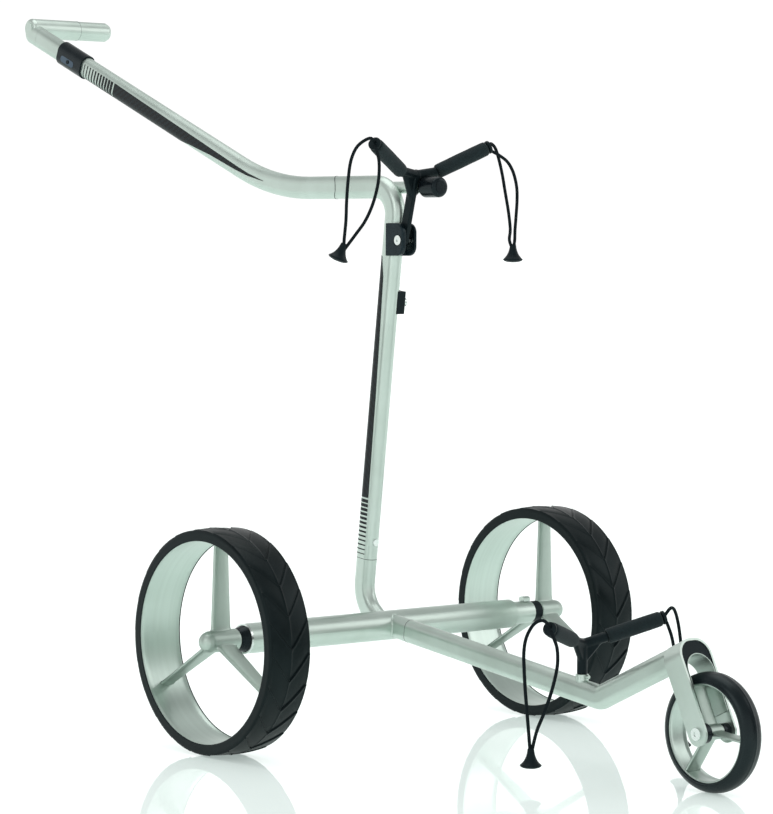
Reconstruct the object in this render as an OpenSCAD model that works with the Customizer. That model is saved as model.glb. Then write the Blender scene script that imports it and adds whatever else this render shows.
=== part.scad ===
// Electric golf trolley with two driven rear wheels, one front wheel and a plug-together frame.
// +X points forward, +Y to the trolley's left and +Z up. The floor is z = 0.
// The modules work from a point on the floor under the rear axle, and placed() moves the
// whole trolley so that its origin is under the middle of its outer box.

/* [Frame tubes] */
// Depth of the oval frame tubes, in the upright plane
tube_deep = 30; // [28:1:32]
// Width of the oval frame tubes, across the trolley
tube_wide = 20; // [18:1:20]
// Wall thickness of the frame tubes
tube_wall = 1.5; // [1:0.1:2]
// Radial clearance of the plug joints
plug_gap = 0.05; // [0.02:0.01:0.1]

/* [Rear axle and wheels] */
// Outer radius of the rear tyres
rear_r = 142; // [140:1:144]
// Inner radius of the rear tyres
rear_rim_r = 129.5; // [129:0.5:131]
// Distance from the symmetry plane to a rear wheel's outer face
rear_out = 306; // [304:1:308]
// Width of a rear wheel
rear_wide = 62.5; // [60:0.5:64]
// Radius of the axle tube
axle_r = 19; // [18:0.5:20]
// Radius of the drive shafts
drive_r = 5; // [4:0.5:6]
// Chord of a rear spoke at the hub
spoke_hub_chord = 26; // [22:1:28]
// Chord of a rear spoke at the rim
spoke_rim_chord = 17.5; // [14:0.5:20]
// Thickness of a rear spoke
spoke_thick = 6.5; // [5:0.5:8]

/* [Front wheel and fork] */
// Outer radius of the front tyre
front_r = 71; // [70:1:72]
// Inner radius of the front tyre
front_rim_r = 59; // [58:0.5:60]
// Half the width of the front tyre
front_half = 14.7; // [13:0.1:15]
// Distance of the front axle ahead of the rear axle
wheelbase = 581.6; // [578:0.2:586]
// Half the outer width of the fork
fork_half = 26; // [25:0.5:27]
// Thickness of the fork band
fork_thick = 3; // [2:0.5:4]
// Depth of the fork band, front to back
fork_deep = 29; // [26:1:30]
// Lean of the fork legs back from upright
fork_lean = 26.15; // [26:0.05:26.5]
// Height of the crown above the front axle, along the legs
fork_high = 112; // [111:1:114]

/* [Neck] */
// Fall of the long neck tube, in degrees
neck_fall = 7.6; // [7.4:0.1:7.8]
// Rise of the neck's front part, in degrees
neck_rise = 25.4; // [25:0.1:26]

/* [Shaft and handle] */
// Lean of the shaft forward from upright
shaft_lean = 6.82; // [6.7:0.02:6.9]
// Height of the seam between the shaft and its stub
shaft_seam = 226; // [222:1:230]
// Height of the shaft's level top part
shaft_top = 710; // [708:1:712]
// Rise of the handle tube, in degrees
handle_rise = 22.13; // [22:0.01:22.3]
// Radius of the hand grip
grip_r = 14.5; // [14:0.5:15]
// Length of the grip from the handle tube to the speed knob
grip_length = 75; // [70:1:80]
// Length of the speed knob
knob_length = 56; // [50:1:60]

/* [Bag holders] */
// Outer radius of the foam sleeves
sleeve_r = 9.4; // [9:0.2:10]
// Radius of the arms inside the sleeves
arm_r = 6; // [5:0.5:6.5]
// Diameter of the elastic cords
cord_d = 4.2; // [4:0.1:5]
// Base radius of the cone pullers
cone_r = 13; // [11:0.5:14]
// Height of the cone pullers
cone_high = 24; // [20:1:26]

/* [Hidden] */
$fn = 64;

eps = 0.01;
running = 0.05;
weld_gap = 0.02;
silver = [0.76, 0.76, 0.72];
bright = [0.86, 0.86, 0.86];
steel = [0.6, 0.61, 0.63];
black = [0.09, 0.09, 0.1];
grey = [0.3, 0.32, 0.35];
carbon = [0.12, 0.12, 0.14];

// The origin sits under the middle of the outer box, which is behind the rear axle.
shift_x = 88.5;

// Radius of the rounded sides of the oval tubes
side_r = tube_wide / 2;
half_deep = tube_deep / 2;

// Points in the upright plane are [x, z].
axle_z = rear_r;
neck_dir = [cos(neck_fall), -sin(neck_fall)];
neck_start = [0, axle_z + 1.4];
neck_seam = neck_start + 42.3 * neck_dir;
neck_length = 356.5;
neck_corner = neck_seam + neck_length * neck_dir;
riser_dir = [cos(neck_rise), sin(neck_rise)];
neck_bend_r = 20;
neck_bend_in = neck_bend_r * tan((neck_fall + neck_rise) / 2);
neck_bend_start = neck_corner - neck_bend_in * neck_dir;
neck_bend_centre = neck_bend_start + neck_bend_r * [sin(neck_fall), cos(neck_fall)];
front_hub = [wheelbase, front_r];
fork_up = [-sin(fork_lean), cos(fork_lean)];
crown_back = front_hub + 98 * fork_up - fork_deep / 2 * [cos(fork_lean), sin(fork_lean)];
riser_length = (crown_back - neck_corner) * riser_dir;

// The shaft's line, given by its place at the height shaft_mark
shaft_mark = 236;
shaft_mark_x = -44;
shaft_dir = [sin(shaft_lean), cos(shaft_lean)];
function shaft_at(z) = [shaft_mark_x + tan(shaft_lean) * (z - shaft_mark), z];
stub_bend_r = 45;
stub_low = shaft_at(195);
stub_turn = 58.8;
stub_centre = stub_low + stub_bend_r * [cos(shaft_lean), -sin(shaft_lean)];
elbow_r = 36;
elbow_low = shaft_at(shaft_top - 40.4);
elbow_centre = elbow_low + elbow_r * [-cos(shaft_lean), sin(shaft_lean)];
level_z = elbow_centre[1] + elbow_r;
handle_seam = -117.2;
handle_seam_r = 16;
handle_bend_r = 400;
handle_bend_x = -164.8;
handle_dir = [-cos(handle_rise), sin(handle_rise)];
handle_centre = [handle_bend_x, level_z + handle_bend_r];
handle_low = handle_centre + handle_bend_r * [-sin(handle_rise), -cos(handle_rise)];
handle_end = handle_low + 538 * handle_dir;
handle_weld = handle_low + 518 * handle_dir;
grip_at = [-815, level_z + 240];
function handle_at(x) = handle_low + (x - handle_low[0]) / handle_dir[0] * handle_dir;

// Bag holders: where the arms start, where the sleeves start and end, and where the arms end
upper_node = [48.5, 0, 724.3];
upper_kink = [54.4, 30.4, 729];
upper_sleeve_end = [79, 93, 760];
upper_tip = upper_kink + 1.0735 * (upper_sleeve_end - upper_kink);
upper_pivot = [27.3, 641];
clamp_low = 621;
clamp_high = 663;
clamp_back = 3;
clamp_reach = 9.5;
clamp_nose_r = 12.5;
stub_y = 10;
stub_r = 7.8;
stub_cap_x = 56.6;
lower_node = [362, 0, 152.5];
lower_kink = [375, 29, 161];
lower_sleeve_end = [404, 92, 181];
lower_tip = lower_kink + 1.079 * (lower_sleeve_end - lower_kink);
post_top = neck_seam + 324 * neck_dir;
post_x = 362;
collar_z = 116;

// Routes of the elastic loops: out of the arm's end, down to the cone and back. The lower route
// and the right upper one are given on the left side and mirrored.
upper_route = [
    [80, 96, 764], [84, 108, 768], [79, 123, 758], [77, 132, 740], [79, 138, 716], [81, 142, 690],
    [81, 143, 665], [79, 144, 642], [77, 143, 628], [80.5, 138.5, 636], [88, 131, 650],
    [94, 124, 663], [99, 118, 679], [101, 112, 697], [101, 107, 717], [97, 103, 738],
    [89, 100, 752], [82, 97, 759]
];
upper_left_route = [
    [80, 95, 759], [84, 102, 755], [86, 110, 751], [86, 124, 743], [85, 135, 730], [83, 143, 712],
    [82, 145, 694], [80, 145, 670], [79, 144.5, 655], [79, 144, 641], [77.5, 142.5, 629],
    [75.5, 138, 632], [76, 137.5, 642], [77, 138, 656], [77, 134.5, 679], [76, 129.5, 704],
    [75, 125, 727], [75, 119, 746], [76, 112, 760], [78, 103, 766], [80, 96, 765]
];
upper_cone = [77, 143, 613];
lower_route = [
    [407, 96, 185], [406, 107, 193], [402, 118, 189], [399, 127, 174], [399, 131, 156],
    [401, 132, 135], [403, 132, 112], [405, 131, 88], [406, 129, 64], [406, 127, 46], [407, 126, 34],
    [409, 123, 44], [410, 120, 62], [415, 114, 82], [419, 108, 102], [421, 102, 122],
    [422, 98, 142], [419, 96, 160], [413, 96, 172], [408, 96, 180]
];
lower_cone = [407, 126, 19];

// ---------- helpers ----------

module placed(tint) {
    translate([shift_x, 0, 0])
        color(tint)
            children();
}

// Outline of the oval tube, or of one that is larger or smaller all round
module oval(grow = 0) {
    for (side = [-1, 1])
        translate([side * (half_deep - side_r), 0])
            circle(r = side_r + grow);
    square([tube_deep - tube_wide, tube_wide + 2 * grow], center = true);
}

// Outline of the oval tube's wall
module oval_wall() {
    difference() {
        oval();
        oval(-tube_wall);
    }
}

// Turns a local frame so that its +Z points along a direction in the upright plane
module along(point, direction) {
    translate([point[0], 0, point[1]])
        rotate([0, atan2(direction[0], direction[1]), 0])
            children();
}

module run(start, end, grow = 0) {
    along(start, end - start)
        linear_extrude(height = norm(end - start))
            oval(grow);
}

// A straight length of tube that stops a hair short of its end, where the next length is welded
module run_wall(start, end) {
    along(start, end - start)
        linear_extrude(height = norm(end - start) - weld_gap)
            oval_wall();
}

// Part of a ring of the tube's wall in the upright plane, from the angle start, measured from
// +X towards +Z
module bend_wall(centre, radius, start, sweep) {
    translate([centre[0], 0, centre[1]])
        rotate([90, 0, 0])
            rotate([0, 0, start + weld_gap])
                rotate_extrude(angle = sweep - 2 * weld_gap, $fn = 96)
                    translate([radius, 0])
                        oval_wall();
}

// Cylinder along +Y between two distances from the symmetry plane
module across(point, from, to, radius) {
    translate([point[0], from, point[1]])
        rotate([-90, 0, 0])
            cylinder(r = radius, h = to - from);
}

module cone_across(point, from, to, radius_from, radius_to) {
    translate([point[0], from, point[1]])
        rotate([-90, 0, 0])
            cylinder(r1 = radius_from, r2 = radius_to, h = to - from);
}

module rod(start, end, radius) {
    span = end - start;
    translate(start)
        rotate([0, acos(span[2] / norm(span)), atan2(span[1], span[0])])
            cylinder(r = radius, h = norm(span));
}

module both_sides() {
    children();
    mirror([0, 1, 0])
        children();
}

// Local frame at a wheel's centre: x and y in the wheel's plane, z along -Y of the trolley
module wheel_frame(point, y = 0) {
    translate([point[0], y, point[1]])
        rotate([90, 0, 0])
            children();
}

// Local frame of the fork: z up along the legs from the front axle, x forward
module fork_frame() {
    translate([front_hub[0], 0, front_hub[1]])
        rotate([0, -fork_lean, 0])
            children();
}

// Sweeps a round section along a list of points, with flat ends
function unit(v) = v / norm(v);
function tangent(points, i) =
    unit(points[min(i + 1, len(points) - 1)] - points[max(i - 1, 0)]);
function side_of(t) = unit(cross(t, [0.35, 0.9, 0.25]));
function ring(point, t, radius, sides) = [
    for (k = [0 : sides - 1])
        point + radius * (cos(360 * k / sides) * side_of(t)
            + sin(360 * k / sides) * cross(t, side_of(t)))
];

module swept(points, radius, sides) {
    rings = len(points);
    corners = [for (i = [0 : rings - 1]) each ring(points[i], tangent(points, i), radius, sides)];
    walls = [
        for (i = [0 : rings - 2], k = [0 : sides - 1])
            [i * sides + k, (i + 1) * sides + k, (i + 1) * sides + (k + 1) % sides,
                i * sides + (k + 1) % sides]
    ];
    first_cap = [[for (k = [0 : sides - 1]) k]];
    last_cap = [[for (k = [sides - 1 : -1 : 0]) (rings - 1) * sides + k]];
    polyhedron(points = corners, faces = concat(walls, first_cap, last_cap));
}

// ---------- chassis ----------

module axle_tube() {
    placed(silver)
        difference() {
            across([0, axle_z], -237, 211, axle_r);
            across([0, axle_z], -238, 212, axle_r - 2);
        }
}

module axle_end_ring() {
    placed(bright)
        difference() {
            across([0, axle_z], -240, -237, axle_r);
            across([0, axle_z], -241, -236, drive_r + 1);
        }
}

module left_end_sleeve() {
    placed(bright)
        difference() {
            cone_across([0, axle_z], 211, 247.3, 15.5, 14.6);
            across([0, axle_z], 210, 248, 9);
            translate([-3, 229, axle_z + 5])
                cube([6, 18.4, 20]);
        }
}

module release_tab() {
    placed(bright) {
        translate([-2.9, 234, axle_z + 10])
            cube([5.8, 11, 6.5]);
        translate([0, 234, axle_z + 15])
            rotate([-90, 0, 0])
                intersection() {
                    cylinder(r = 6.5, h = 11);
                    translate([-5, -7, 0])
                        cube([10, 7, 11]);
                }
    }
}

module neck_socket() {
    placed(silver)
        difference() {
            run(neck_start, neck_seam);
            run(neck_start, neck_seam + neck_dir, -tube_wall);
            across([0, axle_z], -30, 30, axle_r);
        }
}

module shaft_stub() {
    leave = stub_turn + 180 - shaft_lean;
    low_end = stub_centre + stub_bend_r * [cos(leave), sin(leave)];
    low_dir = [-sin(leave), cos(leave)];
    placed(silver)
        difference() {
            union() {
                run_wall(stub_low, shaft_at(shaft_seam));
                bend_wall(stub_centre, stub_bend_r, 180 - shaft_lean, stub_turn);
                run_wall(low_end, low_end + 22 * low_dir);
            }
            across([0, axle_z], -30, 30, axle_r);
        }
}

module drive_units() {
    placed(steel)
        both_sides() {
            across([0, axle_z], 100, 158, axle_r - 3);
            difference() {
                across([0, axle_z], 158.2, 196, axle_r - 2 - running);
                across([0, axle_z], 184, 197, drive_r + running);
            }
        }
}

module axle_bearings() {
    placed(steel) {
        difference() {
            across([0, axle_z], 203, 210.8, axle_r - 2 - running);
            across([0, axle_z], 202, 212, drive_r + running);
        }
        difference() {
            across([0, axle_z], -236.8, -228, axle_r - 2 - running);
            across([0, axle_z], -238, -227, drive_r + running);
        }
    }
}

module power_pack() {
    cell_length = 42;
    placed(grey) {
        for (i = [-1 : 1])
            across([0, axle_z], i * (cell_length + 1) - cell_length / 2,
                i * (cell_length + 1) + cell_length / 2, axle_r - 3.5);
        translate([-12, 67, axle_z - 1])
            cube([24, 30, 2]);
    }
}

// ---------- rear wheels, built on the right side (-Y) and mirrored for the left ----------

module rear_side(side) {
    mirror([0, side > 0 ? 1 : 0, 0])
        children();
}

module rear_rim() {
    rim_edge = rear_out - rear_wide;
    translate([0, 0, axle_z])
        rotate([90, 0, 0])
            rotate_extrude($fn = 180)
                polygon([
                    [rear_rim_r - 3, rim_edge + 1], [rear_rim_r, rim_edge + 1],
                    [rear_rim_r, rear_out - 1], [rear_rim_r - 3, rear_out - 1],
                    [rear_rim_r - 2, rear_out - 5], [rear_rim_r - 2, rim_edge + 5]
                ]);
}

module rear_tyre() {
    inner = rear_rim_r;
    rim_edge = rear_out - rear_wide;
    shoulder = 3;
    translate([0, 0, axle_z])
        rotate([90, 0, 0])
            rotate_extrude($fn = 180) {
                translate([inner, rim_edge])
                    square([rear_r - inner - shoulder, rear_wide]);
                translate([inner, rim_edge + shoulder])
                    square([rear_r - inner, rear_wide - 2 * shoulder]);
                for (y = [rim_edge + shoulder, rear_out - shoulder])
                    translate([rear_r - shoulder, y])
                        circle(r = shoulder);
            }
}

module rear_spokes(hub_r, hub_start) {
    nose_r = 12;
    spoke_y = 275;
    reach = rear_rim_r - 2.05;
    translate([0, 0, axle_z])
        rotate([90, 0, 0])
            difference() {
                union() {
                    translate([0, 0, hub_start])
                        cylinder(r = hub_r, h = rear_out - nose_r - hub_start);
                    translate([0, 0, rear_out - nose_r])
                        sphere(r = nose_r);
                    for (angle = [90, 210, 330])
                        rotate([0, 0, angle])
                            translate([0, spoke_thick / 2, spoke_y])
                                rotate([90, 0, 0])
                                    linear_extrude(height = spoke_thick)
                                        polygon([
                                            [8, -spoke_hub_chord / 2], [reach, -spoke_rim_chord / 2],
                                            [reach, spoke_rim_chord / 2], [8, spoke_hub_chord / 2]
                                        ]);
                }
                translate([0, 0, hub_start - 1])
                    cylinder(r = drive_r + running, h = 292 - hub_start);
            }
}

module right_drive_shaft() {
    placed(steel)
        across([0, axle_z], -290, -185, drive_r);
}

module left_drive_shaft() {
    placed(steel)
        across([0, axle_z], 185, 290, drive_r);
}

module right_collar() {
    placed(black)
        difference() {
            cone_across([0, axle_z], -251.2, -240.4, 13.5, 17);
            across([0, axle_z], -252, -240, drive_r);
        }
}

module left_collar() {
    placed(black)
        difference() {
            across([0, axle_z], 247.6, 261.2, 14);
            across([0, axle_z], 247, 262, drive_r);
        }
}

module right_rim() {
    placed(silver)
        rear_side(-1)
            rear_rim();
}

module left_rim() {
    placed(silver)
        rear_side(1)
            rear_rim();
}

module right_tyre() {
    placed(black)
        rear_side(-1)
            rear_tyre();
}

module left_tyre() {
    placed(black)
        rear_side(1)
            rear_tyre();
}

module right_spokes() {
    placed(silver)
        rear_side(-1)
            rear_spokes(14, 251.5);
}

module left_spokes() {
    placed(silver)
        rear_side(1)
            rear_spokes(13.5, 261.5);
}

// ---------- neck, fork and front wheel ----------

module neck_plug() {
    placed(grey)
        difference() {
            run(neck_seam - 18 * neck_dir, neck_seam + 30 * neck_dir, -tube_wall - plug_gap);
            run(neck_seam - 19 * neck_dir, neck_seam + 31 * neck_dir, -tube_wall - 3);
        }
}

module neck_tube() {
    placed(silver) {
        difference() {
            run_wall(neck_seam + 0.05 * neck_dir, neck_bend_start);
            translate([post_x, 0, post_top[1]])
                cylinder(r = 8, h = 30);
        }
        bend_wall(neck_bend_centre, neck_bend_r, -90 - neck_fall, neck_fall + neck_rise);
    }
}

module neck_riser() {
    start = neck_corner + neck_bend_in * riser_dir;
    end = neck_corner + (riser_length + 12) * riser_dir;
    placed(silver)
        difference() {
            run(start, end);
            run(start - riser_dir, end + riser_dir, -tube_wall);
            fork_frame()
                translate([fork_deep / 2, 0, fork_high / 2])
                    cube([2 * fork_deep, 100, 2 * fork_high], center = true);
        }
}

// Front view of an arch: straight legs up from a level, with a round or rounded top
module arch_outline(half, top, corner, low) {
    translate([-half, low])
        square([2 * half, top - corner - low]);
    translate([-half + corner, low])
        square([2 * (half - corner), top - low]);
    for (side = [-1, 1])
        translate([side * (half - corner), top - corner])
            circle(r = corner);
}

// Extrudes a front view over a stretch of the fork's depth
module fork_slice(back, front) {
    fork_frame()
        translate([back, 0, 0])
            rotate([90, 0, 90])
                linear_extrude(height = front - back)
                    children();
}

arch_low = 20;
arch_r = 20.6;
arch_top = 92;
lining = 1.1;
band_corner = 22;
crown_plate = 2;

// Side view of the fork, with legs that end round at the axle
module fork_side() {
    circle(r = fork_deep / 2);
    translate([-fork_deep / 2, 0])
        square([fork_deep, fork_high + 1]);
}

module fork_band() {
    inner = fork_half - fork_thick;
    placed(silver)
        difference() {
            intersection() {
                fork_frame()
                    translate([0, fork_half + 1, 0])
                        rotate([90, 0, 0])
                            linear_extrude(height = 2 * fork_half + 2)
                                fork_side();
                fork_slice(-fork_deep, fork_deep)
                    arch_outline(fork_half, fork_high, band_corner, -fork_deep);
            }
            fork_slice(-fork_deep / 2 + crown_plate, fork_deep)
                arch_outline(inner, fork_high - fork_thick, band_corner - fork_thick,
                    -fork_deep - 1);
            fork_slice(-fork_deep, -fork_deep / 2 + crown_plate + 1)
                arch_outline(inner, arch_top + 1, band_corner - fork_thick, -fork_deep - 1);
            across(front_hub, -30, 30, 4 + running);
        }
}

module fork_liner() {
    inner = fork_half - fork_thick;
    placed(black)
        fork_slice(-fork_deep / 2 + crown_plate, fork_deep / 2 - 1)
            difference() {
                arch_outline(inner, fork_high - fork_thick, band_corner - fork_thick, arch_low);
                arch_outline(arch_r + lining, arch_top + lining, arch_r + lining - eps, arch_low - 1);
            }
}

// Metal lining of the arch, flush with the fork's front
module arch_trim() {
    outer = arch_r + lining - running;
    placed(bright)
        fork_slice(-fork_deep / 2 + crown_plate + running, fork_deep / 2)
            difference() {
                arch_outline(outer, arch_top + lining - running, outer - eps, arch_low);
                arch_outline(arch_r, arch_top, arch_r - eps, arch_low - 1);
            }
}

module post_collar() {
    placed(bright) {
        difference() {
            translate([post_x, 0, post_top[1] + half_deep - 6])
                cylinder(r = 8 - running, h = collar_z - post_top[1] - half_deep + 6);
            translate([post_x, 0, post_top[1]])
                cylinder(r = 5 + running, h = 40);
        }
        translate([post_x + 8, 0, collar_z - 2.6])
            rotate([0, 90, 0])
                cylinder(r = 2.4, h = 4);
    }
}

module front_axle() {
    placed(steel) {
        across(front_hub, -fork_half, fork_half, 4);
        for (side = [-1, 1])
            difference() {
                across(front_hub, side * (fork_half + 1.3) - 1.25, side * (fork_half + 1.3) + 1.25, 7.5);
                across(front_hub, side * (fork_half + 2.6) - 1, side * (fork_half + 2.6) + 1, 3);
            }
    }
}

module front_spacers() {
    inner = fork_half - fork_thick;
    placed(black) {
        difference() {
            across(front_hub, -inner, -12.4, 12);
            across(front_hub, -30, 0, 4 + running);
        }
        difference() {
            across(front_hub, 12.4, inner, 9);
            across(front_hub, 0, 30, 4 + running);
        }
    }
}

module front_rim() {
    placed(silver)
        wheel_frame(front_hub, front_half - 1)
            rotate_extrude($fn = 128)
                translate([front_rim_r - 2, 0])
                    square([2, 2 * front_half - 2]);
}

module front_tyre() {
    inner = front_rim_r;
    shoulder = 8;
    placed(black)
        wheel_frame(front_hub, 0)
            rotate_extrude($fn = 128)
                intersection() {
                    union() {
                        translate([inner, -front_half])
                            square([front_r - inner - shoulder, 2 * front_half]);
                        translate([inner, -front_half + shoulder])
                            square([front_r - inner, 2 * (front_half - shoulder)]);
                        for (side = [-1, 1])
                            translate([front_r - shoulder, side * (front_half - shoulder)])
                                circle(r = shoulder);
                    }
                    translate([inner, -front_half])
                        square([front_r - inner, 2 * front_half]);
                }
}

module front_spokes() {
    reach = front_rim_r - 2.05;
    placed(silver)
        wheel_frame(front_hub, 0)
            difference() {
                union() {
                    translate([0, 0, -12])
                        cylinder(r = 9, h = 24);
                    for (angle = [116, 236, 356])
                        rotate([0, 0, angle])
                            translate([0, 2.5, 0])
                                rotate([90, 0, 0])
                                    linear_extrude(height = 5)
                                        polygon([[6, -11.7], [reach, -11], [reach, 11], [6, 11.7]]);
                }
                translate([0, 0, -13])
                    cylinder(r = 6.5, h = 26);
            }
}

module front_bearings() {
    placed(steel)
        for (side = [-1, 1])
            difference() {
                across(front_hub, side * 9 - 3, side * 9 + 3, 6.5 - running);
                across(front_hub, side * 9 - 4, side * 9 + 4, 4 + running);
            }
}

// ---------- bag holders ----------

// Arm that bends just before its sleeve and ends in a round flange past the sleeve
module padded_arm(from, kink, sleeve_end, tip) {
    inward = unit(from - kink);
    outward = unit(sleeve_end - kink);
    rod(from, kink + 2.2 * inward, arm_r + 0.3);
    rod(kink - 6 * outward, sleeve_end + 3 * outward, arm_r);
    rod(sleeve_end + 1.4 * outward, tip, sleeve_r - 0.8);
}

module lower_bracket() {
    placed(black) {
        translate([post_x, 0, post_top[1]])
            cylinder(r = 5, h = lower_node[2] - post_top[1]);
        translate([post_x, 0, collar_z + 0.3])
            cylinder(r = 6.4, h = lower_node[2] - collar_z - 0.3);
        translate(lower_node)
            rotate([90, 0, 0])
                sphere(r = 7.4);
        both_sides() {
            padded_arm(lower_node, lower_kink, lower_sleeve_end, lower_tip);
        }
    }
}

module foam_sleeve(start, end) {
    outward = unit(end - start);
    difference() {
        rod(start, end, sleeve_r);
        rod(start - outward, end + outward, arm_r + running);
    }
}

module lower_sleeves() {
    placed(black)
        both_sides()
            foam_sleeve(lower_kink, lower_sleeve_end);
}

module upper_sleeves() {
    placed(black)
        both_sides()
            foam_sleeve(upper_kink, upper_sleeve_end);
}

module upper_bracket() {
    stem_y = -2;
    stem_thick = 6.5;
    stem_deep = 13.4;
    stem_dir = unit([upper_node[0], upper_node[2]] - upper_pivot);
    stem_length = norm([upper_node[0], upper_node[2]] - upper_pivot);
    placed(black)
        difference() {
            union() {
                across(upper_pivot, stem_y - stem_thick / 2, stem_y + stem_thick / 2, 7.2);
                translate([0, stem_y, 0])
                    along(upper_pivot, stem_dir)
                        translate([-stem_deep / 2, -stem_thick / 2, 0])
                            cube([stem_deep, stem_thick, stem_length]);
                translate(upper_node)
                    rotate([90, 0, 0])
                        sphere(r = 7.4);
                both_sides() {
                    padded_arm(upper_node, upper_kink, upper_sleeve_end, upper_tip);
                }
            }
            across(upper_pivot, -20, 20, 3 + running);
        }
}

module cord_loop(route) {
    swept(route, cord_d / 2, 8);
}

module upper_left_cord() {
    placed(black)
        cord_loop(upper_left_route);
}

module upper_right_cord() {
    placed(black)
        mirror([0, 1, 0])
            cord_loop(upper_route);
}

module lower_left_cord() {
    placed(black)
        cord_loop(lower_route);
}

module lower_right_cord() {
    placed(black)
        mirror([0, 1, 0])
            cord_loop(lower_route);
}

// Puller with a hollow, flaring side
module cone_puller(base) {
    flare_r = 28;
    flare_side = 18.6;
    flare_up = 3.4;
    translate(base)
        rotate_extrude()
            difference() {
                square([cone_r, cone_high]);
                translate([cone_r + flare_side, cone_high + flare_up])
                    circle(r = flare_r, $fn = 128);
            }
}

module upper_cones() {
    placed(black)
        both_sides()
            cone_puller(upper_cone);
}

module lower_cones() {
    placed(black)
        both_sides()
            cone_puller(lower_cone);
}

// ---------- shaft ----------

// Local frame of the shaft at a height: z up along it, x forward
module shaft_frame(z) {
    along(shaft_at(z), shaft_dir)
        children();
}

button_z = 249;
button_r = 4.5;

module shaft_tube() {
    placed(silver)
        difference() {
            union() {
                run_wall(shaft_at(shaft_seam), elbow_low);
                bend_wall(elbow_centre, elbow_r, -shaft_lean, 90 + shaft_lean);
                run_wall([elbow_centre[0], level_z], [handle_seam, level_z]);
            }
            across([handle_seam, level_z], -20, 20, handle_seam_r + 0.2);
            shaft_frame(button_z)
                rotate([0, 90, 0])
                    cylinder(r = button_r + running, h = 30);
        }
}

module shaft_plug() {
    placed(grey)
        difference() {
            run(shaft_at(199), shaft_at(266), -tube_wall - plug_gap);
            shaft_frame(button_z)
                translate([-8, 0, 0])
                    rotate([0, 90, 0])
                        cylinder(r = button_r + running, h = 30);
        }
}

module shaft_button() {
    placed(bright)
        shaft_frame(button_z)
            translate([4, 0, 0])
                rotate([0, 90, 0])
                    cylinder(r = button_r, h = half_deep - 4 + 1.2);
}

// Thin skin around an oval tube, kept where the children reach
module skin(start, end, thick = 0.4) {
    intersection() {
        difference() {
            run(start, end, thick);
            run(start, end, 0);
        }
        children();
    }
}

// Carbon strip on the back of the shaft, with bars below it that get thinner downwards
module shaft_inlay() {
    strip_low = 306;
    strip_high = 622;
    bars = 13;
    bar_pitch = 5.9;
    low = shaft_at(strip_low);
    high = shaft_at(strip_high);
    length = norm(high - low);
    placed(carbon) {
        skin(low, high)
            along(low, shaft_dir)
                rotate([90, 0, 0])
                    linear_extrude(height = 40, center = true)
                        polygon([
                            [-20, 0], [4.4, 0], [3.4, 60], [2.4, 130], [0, 220], [-2.5, 290],
                            [-8, length - 3], [-20, length]
                        ]);
        for (i = [0 : bars - 1]) {
            z = strip_low - 2.2 - bar_pitch * i;
            thick = 4.4 - 3.3 * i / (bars - 1);
            bar_low = shaft_at(z - thick);
            skin(bar_low, shaft_at(z))
                along(bar_low, shaft_dir)
                    translate([-20, -20, 0])
                        cube([24.6 + 0.12 * i, 40, thick]);
        }
    }
}

// One cheek of the clamp: a plate with a broad rounded nose, from one y to another
module clamp_cheek(from, to) {
    nose_x = upper_pivot[0] + clamp_reach - clamp_nose_r;
    height = clamp_high - clamp_low;
    thick = to - from;
    for (z = [clamp_low + clamp_nose_r, clamp_high - clamp_nose_r])
        across([nose_x, z], from, to, clamp_nose_r);
    translate([clamp_back, from, clamp_low])
        cube([nose_x - clamp_back, thick, height]);
    translate([nose_x - 1, from, clamp_low + clamp_nose_r])
        cube([clamp_nose_r + 1, thick, height - 2 * clamp_nose_r]);
}

// Two cheeks around the bracket's stem, shaped to the shaft behind them
module bracket_clamp() {
    placed(grey)
        difference() {
            union() {
                clamp_cheek(-12.4, -5.7);
                clamp_cheek(8.6, 12.4);
                translate([clamp_back, -12.4, clamp_low])
                    cube([15, 24.8, 8]);
            }
            run(shaft_at(600), shaft_at(690), running);
            across(upper_pivot, -20, 20, 3 + running);
            across(upper_pivot, -13, -11, 7);
            across([upper_pivot[0], upper_pivot[1]], -5.6, 8.5, 8.4);
        }
}

module shaft_fasteners() {
    stud_r = 6;
    placed(bright) {
        across(upper_pivot, -11, 12.4, 3);
        difference() {
            across(upper_pivot, -12.9, -11, 6.3);
            across(upper_pivot, -14, -12, 2.5, $fn = 6);
        }
        shaft_frame(562)
            translate([7.5, 15.9, 0])
                rotate([-90, 0, 0]) {
                    cylinder(r = stud_r, h = 5);
                    translate([0, 0, 5])
                        cylinder(r1 = stud_r, r2 = stud_r - 2.5, h = 2.2);
                }
    }
}

module rest_block() {
    placed(black)
        difference() {
            shaft_frame(562)
                translate([-1, 3, -14.75])
                    cube([16.2, 12.8, 29.5]);
            run(shaft_at(540), shaft_at(584), 0.02);
        }
}

module stub_tube() {
    placed(silver)
        difference() {
            translate([-24, stub_y, shaft_top - 1])
                rotate([0, 90, 0])
                    cylinder(r = stub_r, h = 100);
            translate([-25, stub_y, shaft_top - 1])
                rotate([0, 90, 0])
                    cylinder(r = stub_r - 1.5, h = 102);
            run(shaft_at(shaft_top - 60), elbow_low, 0.02);
            translate([elbow_centre[0], 0, elbow_centre[1]])
                rotate([90, 0, 0])
                    rotate([0, 0, -shaft_lean])
                        rotate_extrude(angle = 90 + shaft_lean, $fn = 96)
                            translate([elbow_r, 0])
                                oval(0.02);
        }
}

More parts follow.
